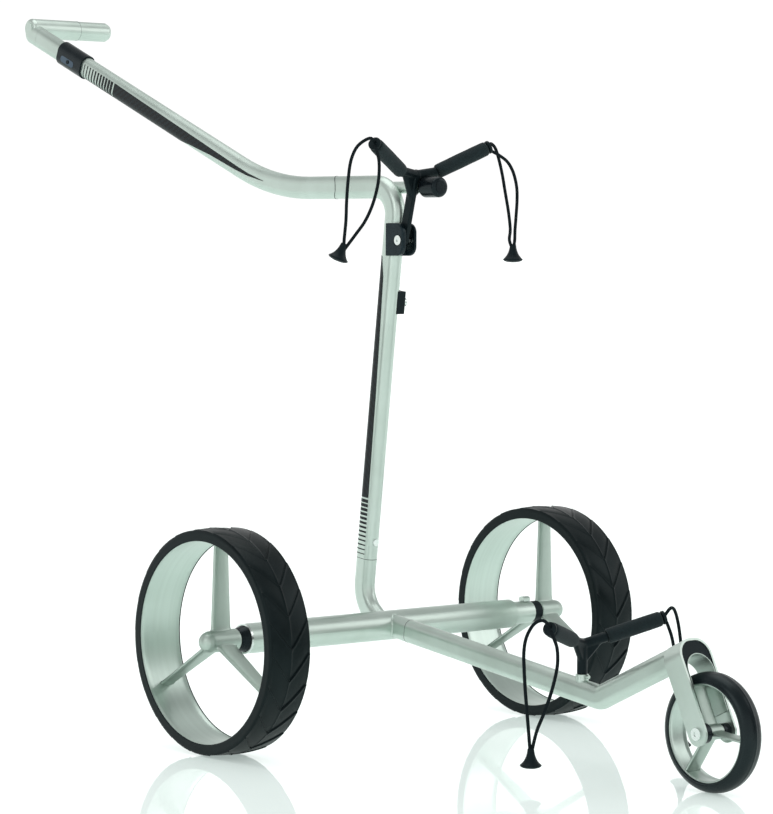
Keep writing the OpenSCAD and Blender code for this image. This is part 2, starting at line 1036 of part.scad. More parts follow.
module stub_cap() {
    cap_r = 13.3;
    rounding = 5;
    length = 29.5;
    placed(black)
        translate([stub_cap_x, stub_y, shaft_top - 1])
            rotate([0, 90, 0])
                rotate_extrude()
                    difference() {
                        union() {
                            square([cap_r, length - rounding]);
                            square([cap_r - rounding, length]);
                            translate([cap_r - rounding, length - rounding])
                                circle(r = rounding);
                        }
                        translate([-1, -1])
                            square([stub_r + running + 1, 21]);
                    }
}

// ---------- handle ----------

module handle_tube() {
    placed(silver) {
        intersection() {
            run_wall([handle_bend_x, level_z], [handle_seam + handle_seam_r + 1, level_z]);
            union() {
                across([handle_seam, level_z], -20, 20, handle_seam_r);
                translate([handle_bend_x - 1, -20, level_z - 20])
                    cube([handle_seam - handle_bend_x + 1, 40, 40]);
            }
        }
        bend_wall(handle_centre, handle_bend_r, -90 - handle_rise, handle_rise);
        run_wall(handle_low, handle_weld);
    }
}

module handle_plug() {
    placed(grey)
        difference() {
            run([-152, level_z], [-62, level_z], -tube_wall - plug_gap);
            run([-153, level_z], [-61, level_z], -tube_wall - 3);
        }
}

// Frame on the handle tube at a forward distance: z up along the tube, y across
module handle_frame(x) {
    along(handle_at(x), handle_dir)
        children();
}

plate_drop = -3.5;

// Long rounded pocket or plate on the near side of the sleeve, from one depth to another
module plate_shape(grow, from, to) {
    length = 34;
    half = 4.6;
    for (side = [-1, 1])
        translate([plate_drop, from, side * (length / 2 - half)])
            rotate([-90, 0, 0])
                cylinder(r = half + grow, h = to - from);
    translate([plate_drop - half - grow, from, -length / 2 + half])
        cube([2 * (half + grow), to - from, length - 2 * half]);
}

module switch_pin(radius, from, to) {
    translate([plate_drop, from, -2])
        rotate([-90, 0, 0])
            cylinder(r = radius, h = to - from);
}

module handle_sleeve() {
    placed(black)
        difference() {
            run(handle_at(-680), handle_at(-737), 2.5);
            run(handle_at(-679), handle_at(-738), 0.02);
            handle_frame(-711) {
                plate_shape(running, -14, -11.4);
                switch_pin(3.2, -13, -10.3);
            }
        }
}

module switch_plate() {
    placed(bright)
        handle_frame(-711)
            difference() {
                plate_shape(0, -12.7, -11.4);
                switch_pin(3 + running, -14, -10);
            }
}

module switch_button() {
    placed(black)
        handle_frame(-711)
            switch_pin(3, -13.4, -11.3);
}

// Point in the handle's bend, a height above the tube's middle line, after a turn from level
function bend_point(up, turn) =
    handle_centre + (handle_bend_r - up) * [-sin(turn), -cos(turn)];

// Thin skin around the handle's bend, from an angle on
module bend_skin(start, sweep, thick = 0.4) {
    translate([handle_centre[0], 0, handle_centre[1]])
        rotate([90, 0, 0])
            rotate([0, 0, start])
                rotate_extrude(angle = sweep, $fn = 96)
                    translate([handle_bend_r, 0])
                        difference() {
                            oval(thick);
                            oval();
                        }
}

// Carbon strip under the handle tube, with stripes above it that get thinner upwards
module handle_inlay() {
    stripes = 11;
    pitch = 7.4;
    strip_high = handle_at(-600);
    strip_low = handle_at(-316);
    length = norm(strip_high - strip_low);
    placed(carbon) {
        skin(strip_low, strip_high)
            along(strip_low, handle_dir)
                rotate([90, 0, 0])
                    linear_extrude(height = 40, center = true)
                        polygon([
                            [-3.5, 0], [-5.5, length * 0.19], [-10, length * 0.36],
                            [-15.5, length * 0.47], [-20, length * 0.5], [-20, length],
                            [7.7, length], [5.8, length * 0.65], [3.9, length * 0.3], [2.2, 0]
                        ]);
        intersection() {
            bend_skin(-90 - handle_rise + 0.01, 12);
            rotate([90, 0, 0])
                linear_extrude(height = 40, center = true)
                    polygon([
                        bend_point(-3.5, handle_rise), bend_point(-2.4, 18), bend_point(-0.8, 13),
                        bend_point(-0.2, 13), bend_point(1.2, 18), bend_point(2.2, handle_rise)
                    ]);
        }
        for (i = [0 : stripes - 1]) {
            thick = 5 - 3.8 * i / (stripes - 1);
            bar_low = handle_at(-602 - pitch * i * cos(handle_rise));
            bar_high = bar_low + thick * handle_dir;
            skin(bar_low + 1.6 * handle_dir, bar_high + 1.6 * handle_dir)
                along(bar_low, handle_dir)
                    translate([-20, -20, 0])
                        cube([27.6, 40, thick + 3]);
        }
    }
}

// Solid of the oval outline turned about the tube's cross axis
module round_end(point) {
    translate([point[0], 0, point[1]])
        rotate([90, 0, 0])
            rotate_extrude()
                intersection() {
                    oval();
                    translate([0, -50])
                        square([50, 100]);
                }
}

module grip_tube() {
    mouth = 6;
    placed(silver)
        difference() {
            union() {
                run(handle_weld + 0.3 * handle_dir, handle_end);
                round_end(handle_end);
                across(grip_at, -3, grip_length, grip_r);
                translate([grip_at[0], -3, grip_at[1]])
                    rotate([90, 0, 0])
                        rotate_extrude() {
                            square([grip_r - mouth, mouth + 1]);
                            intersection() {
                                translate([grip_r - mouth, 0])
                                    circle(r = mouth);
                                square([grip_r, mouth]);
                            }
                        }
            }
            across(grip_at, 40, grip_length + 1, 9);
        }
}

module potentiometer() {
    placed(steel) {
        across(grip_at, 44, grip_length - 6, 8.95);
        across(grip_at, grip_length - 6, grip_length + 16, 3);
    }
}

module speed_knob() {
    chamfer = 5;
    knob_r = grip_r - 0.5;
    bore_end = grip_length + 17;
    placed(silver)
        difference() {
            union() {
                across(grip_at, grip_length + 0.3, grip_length + knob_length - chamfer, knob_r);
                cone_across(grip_at, grip_length + knob_length - chamfer, grip_length + knob_length,
                    knob_r, knob_r - 2.5);
            }
            across(grip_at, grip_length - 1, bore_end, 3 + running);
        }
}

axle_tube();
axle_end_ring();
left_end_sleeve();
neck_socket();
shaft_stub();
drive_units();
axle_bearings();
power_pack();
release_tab();
right_drive_shaft();
right_collar();
right_rim();
right_spokes();
right_tyre();
left_drive_shaft();
left_collar();
left_rim();
left_spokes();
left_tyre();
neck_plug();
neck_tube();
neck_riser();
fork_band();
fork_liner();
arch_trim();
post_collar();
front_axle();
front_spacers();
front_rim();
front_spokes();
front_tyre();
front_bearings();
lower_bracket();
lower_sleeves();
lower_right_cord();
lower_left_cord();
lower_cones();
shaft_tube();
shaft_plug();
shaft_inlay();
bracket_clamp();
shaft_fasteners();
stub_tube();
rest_block();
shaft_button();
stub_cap();
upper_bracket();
upper_sleeves();
upper_right_cord();
upper_left_cord();
upper_cones();
handle_tube();
handle_plug();
handle_sleeve();
handle_inlay();
switch_plate();
switch_button();
grip_tube();
potentiometer();
speed_knob();
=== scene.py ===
"""Looks of an electric golf trolley: camera, cords, foam sleeves, wheels, metals and light."""
import math

import bmesh
import bpy
from mathutils import Matrix, Vector


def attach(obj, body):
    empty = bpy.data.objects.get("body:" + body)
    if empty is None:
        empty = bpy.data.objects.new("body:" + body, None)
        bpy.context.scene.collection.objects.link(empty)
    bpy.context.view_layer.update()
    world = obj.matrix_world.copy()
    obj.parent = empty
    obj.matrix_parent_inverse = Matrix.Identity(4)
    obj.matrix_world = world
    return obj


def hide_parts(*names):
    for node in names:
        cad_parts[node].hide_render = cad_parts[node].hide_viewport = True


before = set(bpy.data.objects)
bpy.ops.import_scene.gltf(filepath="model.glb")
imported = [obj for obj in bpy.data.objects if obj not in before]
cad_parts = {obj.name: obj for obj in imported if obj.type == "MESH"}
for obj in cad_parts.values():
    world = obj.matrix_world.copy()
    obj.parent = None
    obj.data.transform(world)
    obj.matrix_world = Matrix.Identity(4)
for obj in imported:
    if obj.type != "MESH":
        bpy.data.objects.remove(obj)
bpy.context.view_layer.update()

# Lengths below are in millimetres from a point on the floor under the rear axle: x forward,
# y to the trolley's left, z up. The model's own origin is 88.5 mm further back.
SHIFT_X = 88.5
AXLE_Z = 142.0
MM = 0.001


def at(x, y, z):
    return Vector(((x + SHIFT_X) * MM, y * MM, z * MM))


# ---------------------------------------------------------------- camera

CAMERA_PLACE = Vector((3.290478, -2.731127, 0.641184))
CAMERA_YAW = math.radians(40.608)
CAMERA_PITCH = math.radians(2.767)
CAMERA_ROLL = math.radians(0.324)
CAMERA_LENS = 143.99
CAMERA_SHIFT = (-0.01467, -0.01171)


def camera_axes():
    forward = Vector((
        -math.cos(CAMERA_YAW) * math.cos(CAMERA_PITCH),
        math.sin(CAMERA_YAW) * math.cos(CAMERA_PITCH),
        -math.sin(CAMERA_PITCH),
    ))
    level_right = forward.cross(Vector((0, 0, 1))).normalized()
    level_up = level_right.cross(forward)
    right = math.cos(CAMERA_ROLL) * level_right + math.sin(CAMERA_ROLL) * level_up
    up = -math.sin(CAMERA_ROLL) * level_right + math.cos(CAMERA_ROLL) * level_up
    return right, up, forward


def make_camera():
    right, up, forward = camera_axes()
    data = bpy.data.cameras.new("camera")
    data.sensor_fit = "AUTO"
    data.sensor_width = 36.0
    data.lens = CAMERA_LENS
    data.shift_x, data.shift_y = CAMERA_SHIFT
    data.clip_end = 200
    camera = bpy.data.objects.new("camera", data)
    bpy.context.scene.collection.objects.link(camera)
    turn = Matrix((right, up, -forward)).transposed().to_4x4()
    camera.matrix_world = Matrix.Translation(CAMERA_PLACE) @ turn
    bpy.context.scene.camera = camera


make_camera()

# ---------------------------------------------------------------- node helpers


def node(tree, kind, inputs=None, **settings):
    made = tree.nodes.new(kind)
    for key, value in settings.items():
        setattr(made, key, value)
    for key, value in (inputs or {}).items():
        socket = made.inputs[key]
        if isinstance(value, bpy.types.NodeSocket):
            tree.links.new(value, socket)
        else:
            socket.default_value = value
    return made


def math_node(tree, operation, first, second=0.0, third=0.0):
    made = node(tree, "ShaderNodeMath", {0: first, 1: second, 2: third}, operation=operation)
    return made.outputs[0]


def ramp(tree, factor, low, high, start, end):
    made = node(tree, "ShaderNodeMapRange", {
        "Value": factor, "From Min": low, "From Max": high, "To Min": start, "To Max": end,
    })
    return made.outputs["Result"]


def blend_colour(tree, factor, first, second):
    made = node(tree, "ShaderNodeMix", data_type="RGBA")
    for index, value in ((0, factor), (6, first), (7, second)):
        socket = made.inputs[index]
        if isinstance(value, bpy.types.NodeSocket):
            tree.links.new(value, socket)
        else:
            socket.default_value = value
    return made.outputs[2]


def noise(tree, vector, scale, detail=2.0, rough=0.5):
    made = node(tree, "ShaderNodeTexNoise", {
        "Vector": vector, "Scale": scale, "Detail": detail, "Roughness": rough,
    })
    return made.outputs[0]


def new_material(name, **fixed):
    material = bpy.data.materials.new(name)
    material.use_nodes = True
    tree = material.node_tree
    shader = next(n for n in tree.nodes if n.type == "BSDF_PRINCIPLED")
    for key, value in fixed.items():
        shader.inputs[key.replace("_", " ")].default_value = value
    return material, tree, shader


def object_vector(tree):
    return node(tree, "ShaderNodeTexCoord").outputs["Object"]


def finish_material(tree, shader, colour=None, rough=None, heights=()):
    """Links colour, roughness and a chain of bumps, each (height, strength, distance)."""
    if colour is not None:
        tree.links.new(colour, shader.inputs["Base Color"])
    if rough is not None:
        tree.links.new(rough, shader.inputs["Roughness"])
    normal = None
    for height, strength, distance in heights:
        inputs = {"Height": height, "Strength": strength, "Distance": distance}
        if normal is not None:
            inputs["Normal"] = normal
        normal = node(tree, "ShaderNodeBump", inputs).outputs[0]
    if normal is not None:
        tree.links.new(normal, shader.inputs["Normal"])


def satin_metal(name, dark, light, rough_low, rough_high, grain=2200.0, grain_depth=0.00002):
    """Glass-bead blasted metal: fine even grain, faint clouding and a few handling marks."""
    material, tree, shader = new_material(name, Metallic=1.0)
    place = object_vector(tree)
    clouds = noise(tree, place, 9.0, 4.0, 0.6)
    fine = noise(tree, place, grain, 2.0, 0.6)
    marks = noise(tree, place, 140.0, 5.0, 0.7)
    colour = blend_colour(tree, ramp(tree, clouds, 0.35, 0.65, 0.0, 1.0), dark, light)
    rough = math_node(tree, "ADD",
                      ramp(tree, clouds, 0.3, 0.7, rough_low, rough_high),
                      ramp(tree, marks, 0.55, 0.75, 0.0, 0.05))
    finish_material(tree, shader, colour, rough, [(fine, 0.25, grain_depth)])
    return material


def turned_metal(name, dark, light, rough_low, rough_high, centre_x, centre_z):
    """Metal with fine lines around a wheel's axle, as a lathe or a polishing belt leaves."""
    material, tree, shader = new_material(name, Metallic=1.0)
    place = object_vector(tree)
    parts = node(tree, "ShaderNodeSeparateXYZ", {0: place}).outputs
    from_x = math_node(tree, "SUBTRACT", parts[0], (centre_x + SHIFT_X) * MM)
    from_z = math_node(tree, "SUBTRACT", parts[2], centre_z * MM)
    angle = math_node(tree, "ARCTAN2", from_z, from_x)
    squares = math_node(tree, "ADD", math_node(tree, "MULTIPLY", from_x, from_x),
                        math_node(tree, "MULTIPLY", from_z, from_z))
    radius = math_node(tree, "SQRT", squares)
    along = node(tree, "ShaderNodeCombineXYZ", {
        0: math_node(tree, "MULTIPLY", angle, 0.9),
        1: math_node(tree, "MULTIPLY", parts[1], 900.0),
        2: math_node(tree, "MULTIPLY", radius, 900.0),
    }).outputs[0]
    broad = node(tree, "ShaderNodeCombineXYZ", {
        0: math_node(tree, "MULTIPLY", angle, 0.5),
        1: math_node(tree, "MULTIPLY", parts[1], 170.0),
        2: 0.0,
    }).outputs[0]
    lines = noise(tree, along, 1.0, 3.0, 0.6)
    bands = noise(tree, broad, 1.0, 2.0, 0.5)
    clouds = noise(tree, place, 14.0, 3.0, 0.5)
    mixed = math_node(tree, "ADD", ramp(tree, bands, 0.3, 0.7, 0.0, 0.6),
                      ramp(tree, clouds, 0.3, 0.7, 0.0, 0.4))
    colour = blend_colour(tree, mixed, dark, light)
    rough = ramp(tree, lines, 0.3, 0.7, rough_low, rough_high)
    finish_material(tree, shader, colour, rough, [(lines, 0.18, 0.00002)])
    return material


def moulded(name, dark, light, rough_low, rough_high, grain=2600.0, depth=0.00008, spec=0.22):
    """Injection-moulded plastic with a fine spark-eroded grain, a little paler where rubbed."""
    material, tree, shader = new_material(
        name, Specular_IOR_Level=spec, Specular_Tint=(0.72, 0.95, 1.0, 1))
    place = object_vector(tree)
    fine = noise(tree, place, grain, 2.0, 0.6)
    wear = noise(tree, place, 60.0, 5.0, 0.65)
    colour = blend_colour(tree, ramp(tree, wear, 0.45, 0.75, 0.0, 1.0), dark, light)
    rough = math_node(tree, "ADD", ramp(tree, fine, 0.3, 0.7, rough_low, rough_high),
                      ramp(tree, wear, 0.4, 0.7, 0.0, 0.08))
    finish_material(tree, shader, colour, rough, [(fine, 0.5, depth)])
    return material


def rubber(name, dark, light, rough_low, rough_high, spec):
    """Tyre rubber: matt, lightly pitted, with a trace of dust in broad patches."""
    material, tree, shader = new_material(
        name, Specular_IOR_Level=spec, Specular_Tint=(0.8, 1.0, 1.0, 1))
    place = object_vector(tree)
    pits = noise(tree, place, 1500.0, 3.0, 0.7)
    dust = noise(tree, place, 24.0, 5.0, 0.6)
    colour = blend_colour(tree, ramp(tree, dust, 0.4, 0.75, 0.0, 1.0), dark, light)
    rough = math_node(tree, "ADD", ramp(tree, pits, 0.3, 0.7, rough_low, rough_high),
                      ramp(tree, dust, 0.4, 0.7, 0.0, 0.1))
    finish_material(tree, shader, colour, rough, [(pits, 0.35, 0.0001)])
    return material


def foam(name):
    """Closed-cell foam: small open pores in a slightly uneven skin, with painted shade that darkens
    the colour in the pores and in the skin's dips.
    """
    material, tree, shader = new_material(
        name, Specular_IOR_Level=0.15, Sheen_Weight=0.06, Sheen_Roughness=0.6)
    place = object_vector(tree)
    cells = node(tree, "ShaderNodeTexVoronoi", {"Vector": place, "Scale": 900.0})
    pores = ramp(tree, cells.outputs["Distance"], 0.0, 0.55, 0.0, 1.0)
    uneven = noise(tree, place, 170.0, 4.0, 0.6)
    # painted shade: the colour darkens towards the middle of each pore and in the low parts of the
    # uneven skin, where the bumps below sink
    shade = math_node(tree, "MULTIPLY", pores, ramp(tree, uneven, 0.3, 0.7, 0.7, 1.0))
    colour = blend_colour(tree, shade, (0.002, 0.005, 0.006, 1), (0.012, 0.023, 0.026, 1))
    rough = ramp(tree, uneven, 0.3, 0.7, 0.75, 0.92)
    finish_material(tree, shader, colour, rough, [(uneven, 0.4, 0.0006), (pores, 0.6, 0.0002)])
    return material


def braid(name):
    """Braided elastic cord: two sets of yarns that cross at a steep angle, with painted shade that
    darkens the colour in the gaps between the yarns.
    """
    material, tree, shader = new_material(name, Specular_IOR_Level=0.05)
    place = node(tree, "ShaderNodeTexCoord").outputs["UV"]
    parts = node(tree, "ShaderNodeSeparateXYZ", {0: place}).outputs
    around = math_node(tree, "MULTIPLY", parts[0], math.tau * 8)
    along = math_node(tree, "MULTIPLY", parts[1], math.tau * 620)
    first = math_node(tree, "SINE", math_node(tree, "ADD", around, along))
    second = math_node(tree, "SINE", math_node(tree, "SUBTRACT", around, along))
    yarn = math_node(tree, "MAXIMUM", first, second)
    # painted shade: the colour darkens where neither yarn rises, in the gaps between them, and is
    # lighter on the yarns' crests
    colour = blend_colour(tree, ramp(tree, yarn, -0.2, 1.0, 0.0, 1.0),
                          (0.002, 0.004, 0.005, 1), (0.012, 0.018, 0.021, 1))
    rough = ramp(tree, yarn, -0.4, 1.0, 0.9, 0.6)
    finish_material(tree, shader, colour, rough, [(yarn, 0.2, 0.00008)])
    return material


def twill(name, slope):
    """Woven carbon under clear lacquer. slope leans the weave's length off the upright."""
    material, tree, shader = new_material(
        name, Coat_Weight=0.12, Coat_Roughness=0.1, Specular_IOR_Level=0.14)
    parts = node(tree, "ShaderNodeSeparateXYZ", {0: object_vector(tree)}).outputs
    up, lean = math.cos(slope), math.sin(slope)
    length = math_node(tree, "ADD", math_node(tree, "MULTIPLY", parts[0], lean),
                       math_node(tree, "MULTIPLY", parts[2], up))
    depth = math_node(tree, "SUBTRACT", math_node(tree, "MULTIPLY", parts[0], up),
                      math_node(tree, "MULTIPLY", parts[2], lean))
    girth = math_node(tree, "ADD", depth, parts[1])
    tow = 1 / 0.0024
    row = math_node(tree, "FLOOR", math_node(tree, "MULTIPLY", length, tow))
    column = math_node(tree, "FLOOR", math_node(tree, "MULTIPLY", girth, tow))
    step = math_node(tree, "FRACT", math_node(tree, "MULTIPLY",
                                              math_node(tree, "ADD", row, column), 0.25))
    over = math_node(tree, "GREATER_THAN", step, 0.4)
    across = math_node(tree, "PINGPONG", math_node(tree, "MULTIPLY", girth, tow), 1.0)
    down = math_node(tree, "PINGPONG", math_node(tree, "MULTIPLY", length, tow), 1.0)
    crown = math_node(tree, "ADD", math_node(tree, "MULTIPLY", over, across),
                      math_node(tree, "MULTIPLY", math_node(tree, "SUBTRACT", 1.0, over), down))
    colour = blend_colour(tree, over, (0.0015, 0.003, 0.0035, 1), (0.008, 0.014, 0.017, 1))
    rough = math_node(tree, "ADD", math_node(tree, "MULTIPLY", over, 0.12), 0.3)
    finish_material(tree, shader, colour, rough, [(crown, 0.25, 0.0002)])
    return material


METAL_DARK = (0.49, 0.57, 0.52, 1)
METAL_LIGHT = (0.575, 0.66, 0.61, 1)
FRONT_X = 581.6
FRONT_Z = 71.0
SHAFT_LEAN = math.radians(6.82)
HANDLE_LEAN = math.radians(-67.87)
frame_metal = satin_metal("frame_metal", METAL_DARK, METAL_LIGHT, 0.34, 0.42)
cast_metal = satin_metal("cast_metal", (0.40, 0.475, 0.43, 1), (0.47, 0.55, 0.50, 1), 0.40, 0.48,
                         1600.0, 0.00006)
rear_barrel = turned_metal("rear_barrel", (0.47, 0.555, 0.505, 1), (0.53, 0.62, 0.57, 1),
                           0.30, 0.38, 0.0, AXLE_Z)
front_barrel = turned_metal("front_barrel", (0.42, 0.50, 0.455, 1), (0.49, 0.57, 0.525, 1),
                            0.30, 0.38, FRONT_X, FRONT_Z)
bright_metal = satin_metal("bright_metal", (0.62, 0.67, 0.645, 1), (0.72, 0.77, 0.745, 1),
                           0.16, 0.26, 900.0, 0.00003)
inner_steel = satin_metal("inner_steel", (0.33, 0.34, 0.36, 1), (0.48, 0.49, 0.5, 1), 0.3, 0.45)
black_plastic = moulded("black_plastic", (0.0030, 0.0062, 0.0078, 1), (0.0070, 0.0115, 0.0135, 1),
                        0.36, 0.5, spec=0.16)
clamp_plastic = moulded("clamp_plastic", (0.004, 0.009, 0.012, 1), (0.012, 0.021, 0.027, 1),
                        0.2, 0.32, 700.0, 0.0002)
gloss_plastic = moulded("gloss_plastic", (0.004, 0.006, 0.008, 1), (0.009, 0.012, 0.014, 1),
                        0.16, 0.26, 1200.0, 0.00003)
smoked_metal = satin_metal("smoked_metal", (0.06, 0.09, 0.12, 1), (0.10, 0.14, 0.18, 1), 0.14, 0.22,
                           900.0, 0.00002)
cell_wrap = moulded("cell_wrap", (0.02, 0.05, 0.11, 1), (0.04, 0.09, 0.17, 1), 0.3, 0.4)
tyre_rubber = rubber("tyre_rubber", (0.0015, 0.0040, 0.0048, 1), (0.0040, 0.0080, 0.0092, 1),
                     0.30, 0.40, 0.15)
front_rubber = rubber("front_rubber", (0.0012, 0.0035, 0.0055, 1), (0.0032, 0.0065, 0.0090, 1),
                      0.24, 0.32, 0.3)
sleeve_foam = foam("sleeve_foam")
cord_braid = braid("cord_braid")
seam_black = moulded("seam_black", (0.002, 0.003, 0.003, 1), (0.005, 0.006, 0.006, 1), 0.5, 0.6)
shaft_carbon = twill("shaft_carbon", SHAFT_LEAN)
handle_carbon = twill("handle_carbon", HANDLE_LEAN)

NODE_MATERIALS = {
    "axle_tube": frame_metal, "neck_socket": frame_metal, "shaft_stub": frame_metal,
    "neck_tube": frame_metal, "neck_riser": frame_metal, "fork_band": frame_metal,
    "shaft_tube": frame_metal, "stub_tube": frame_metal, "handle_tube": frame_metal,
    "grip_tube": frame_metal, "speed_knob": frame_metal,
    "axle_end_ring": bright_metal, "left_end_sleeve": frame_metal, "release_tab": frame_metal,
    "arch_trim": cast_metal, "post_collar": frame_metal, "shaft_fasteners": bright_metal,
    "shaft_button": bright_metal, "switch_plate": smoked_metal, "front_axle": bright_metal,
    "drive_units": inner_steel, "axle_bearings": inner_steel, "right_drive_shaft": inner_steel,
    "left_drive_shaft": inner_steel, "front_bearings": inner_steel, "potentiometer": inner_steel,
    "neck_plug": inner_steel, "shaft_plug": inner_steel, "handle_plug": inner_steel,
    "power_pack": cell_wrap, "right_collar": gloss_plastic, "left_collar": black_plastic,
    "fork_liner": black_plastic, "front_spacers": gloss_plastic, "rest_block": black_plastic,
    "handle_sleeve": gloss_plastic, "switch_button": black_plastic,
    "shaft_inlay": shaft_carbon, "handle_inlay": handle_carbon,
}
for node_name, finish in NODE_MATERIALS.items():
    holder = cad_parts[node_name]
    if not holder.material_slots:
        holder.data.materials.append(finish)
    for material_slot in holder.material_slots:
        material_slot.material = finish

# ---------------------------------------------------------------- mesh helpers


def grid_faces(rows, columns, close_rows=False, close_columns=True):
    """Faces of a grid of points, row after row."""
    faces = []
    for i in range(rows if close_rows else rows - 1):
        for j in range(columns if close_columns else columns - 1):
            a = i * columns + j
            b = i * columns + (j + 1) % columns
            c = ((i + 1) % rows) * columns + (j + 1) % columns
            d = ((i + 1) % rows) * columns + j
            faces.append((a, b, c, d))
    return faces


def add_piece(name, points, faces, material, body, instead_of=(), finish_slot=None, crease=None):
    """A mesh object from points in metres, riding a body and standing for CAD nodes."""
    mesh = bpy.data.meshes.new(name)
    mesh.from_pydata([tuple(p) for p in points], [], faces)
    mesh.validate()
    work = bmesh.new()
    work.from_mesh(mesh)
    bmesh.ops.recalc_face_normals(work, faces=work.faces)
    work.to_mesh(mesh)
    work.free()
    mesh.materials.append(material)
    piece = bpy.data.objects.new(name, mesh)
    bpy.context.scene.collection.objects.link(piece)
    dress(piece, body, instead_of, crease)
    return piece


def dress(piece, body, instead_of, crease):
    mesh = piece.data
    for face in mesh.polygons:
        face.use_smooth = True
    if crease is not None:
        mesh.set_sharp_from_angle(angle=math.radians(crease))
    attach(piece, body)
    if instead_of:
        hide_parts(*instead_of)


def revolved(profile, steps, place, closed=True):
    """Grid around an axis. place(axial, radius, angle) gives the point of each profile point."""
    points = []
    for k in range(steps):
        angle = math.tau * k / steps
        points.extend(place(axial, radius, angle) for axial, radius in profile)
    return points, grid_faces(steps, len(profile), True, closed)


def wheel_place(x, y, z):
    def place(axial, radius, angle):
        return at(x + radius * math.cos(angle), y + axial, z + radius * math.sin(angle))
    return place


def frame_of(direction):
    """Two unit vectors across a direction."""
    direction = direction.normalized()
    side = direction.cross(Vector((0.35, 0.9, 0.25))).normalized()
    return side, direction.cross(side)


def rod_place(start, direction):
    """place() for a piece around a rod's axis, from its start, in millimetres."""
    direction = direction.normalized()
    side, other = frame_of(direction)

    def place(axial, radius, angle):
        p = start + axial * direction + radius * (math.cos(angle) * side + math.sin(angle) * other)
        return at(*p)
    return place


def evaluated(piece):
    """Applies a piece's modifiers."""
    graph = bpy.context.evaluated_depsgraph_get()
    done = bpy.data.meshes.new_from_object(piece.evaluated_get(graph))
    old = piece.data
    piece.modifiers.clear()
    piece.data = done
    bpy.data.meshes.remove(old)


def cast(name, meshes, voxel, rounds, material, body, instead_of):
    """Fuses closed (points, faces) solids, in metres, into one casting with rounded joins."""
    points, faces = [], []
    for some_points, some_faces in meshes:
        first = len(points)
        points.extend(some_points)
        faces.extend(tuple(first + i for i in face) for face in some_faces)
    mesh = bpy.data.meshes.new(name)
    mesh.from_pydata([tuple(p) for p in points], [], faces)
    mesh.materials.append(material)
    piece = bpy.data.objects.new(name, mesh)
    bpy.context.scene.collection.objects.link(piece)
    remesh = piece.modifiers.new("remesh", "REMESH")
    remesh.mode = "VOXEL"
    remesh.voxel_size = voxel * MM
    smooth = piece.modifiers.new("smooth", "SMOOTH")
    smooth.factor = 0.5
    smooth.iterations = rounds
    evaluated(piece)
    if not piece.data.materials:
        piece.data.materials.append(material)
    dress(piece, body, instead_of, None)
    return piece


def cad_solid(node_name):
    """Points and faces of a CAD node's own mesh."""
    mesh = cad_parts[node_name].data
    return [v.co.copy() for v in mesh.vertices], [tuple(f.vertices) for f in mesh.polygons]


def capped(profile, steps, place):
    """Closed solid of revolution from an open profile that starts and ends on the axis."""
    points, faces = [], []
    rings = profile[1:-1]
    for axial, radius in rings:
        points.extend(place(axial, radius, math.tau * k / steps) for k in range(steps))
    faces.extend(grid_faces(len(rings), steps))
    for end, ring in ((profile[0], 0), (profile[-1], len(rings) - 1)):
        points.append(place(end[0], 0.0, 0.0))
        tip = len(points) - 1
        faces.extend((ring * steps + k, ring * steps + (k + 1) % steps, tip)
                     for k in range(steps))
    return points, faces


def wrap(points):
    """Convex solid around some points in metres."""
    work = bmesh.new()
    for p in points:
        work.verts.new(p)
    hull = bmesh.ops.convex_hull(work, input=work.verts)
    loose = {v for v in hull["geom_interior"] if isinstance(v, bmesh.types.BMVert)}
    bmesh.ops.delete(work, geom=list(loose), context="VERTS")
    work.verts.index_update()
    done = [v.co.copy() for v in work.verts], [tuple(v.index for v in f.verts) for f in work.faces]
    work.free()
    return done


def smooth_line(points, steps):
    """Catmull-Rom line through points, with equal steps between its own points."""
    ends = [2 * points[0] - points[1]] + list(points) + [2 * points[-1] - points[-2]]
    line = []
    for a, b, c, d in zip(ends, ends[1:], ends[2:], ends[3:]):
        for k in range(steps):
            t = k / steps
            line.append(0.5 * (2 * b + (c - a) * t + (2 * a - 5 * b + 4 * c - d) * t * t
                               + (3 * b - a - 3 * c + d) * t ** 3))
    line.append(points[-1].copy())
    return line


def tube_piece(name, line, radius, sides, material, body, closed=False, **extra):
    """Round tube along a line of points in metres, with UVs around and along it."""
    count = len(line)
    side = None
    points, lengths = [], [0.0]
    for i, p in enumerate(line):
        before = line[i - 1] if closed or i else line[0]
        after = line[(i + 1) % count] if closed or i < count - 1 else line[-1]
        direction = (after - before).normalized()
        if side is None:
            side = frame_of(direction)[0]
        side = (side - side.dot(direction) * direction).normalized()
        other = direction.cross(side)
        for k in range(sides):
            turn = math.tau * k / sides
            points.append(p + radius * (math.cos(turn) * side + math.sin(turn) * other))
        if i:
            lengths.append(lengths[-1] + (p - line[i - 1]).length)
    faces = grid_faces(count, sides, closed)
    if not closed:
        faces.append(tuple(range(sides)))
        faces.append(tuple((count - 1) * sides + k for k in range(sides)))
    piece = add_piece(name, points, faces, material, body, **extra)
    layer = piece.data.uv_layers.new(name="UVMap")
    for face in piece.data.polygons:
        for loop in face.loop_indices:
            vertex = piece.data.loops[loop].vertex_index
            ring, k = divmod(vertex, sides)
            turn = k / sides
            if k == 0 and any(piece.data.loops[o].vertex_index % sides == sides - 1
                              for o in face.loop_indices):
                turn = 1.0
            layer.data[loop].uv = (turn, lengths[ring])
    return piece


# ---------------------------------------------------------------- cords and their pullers

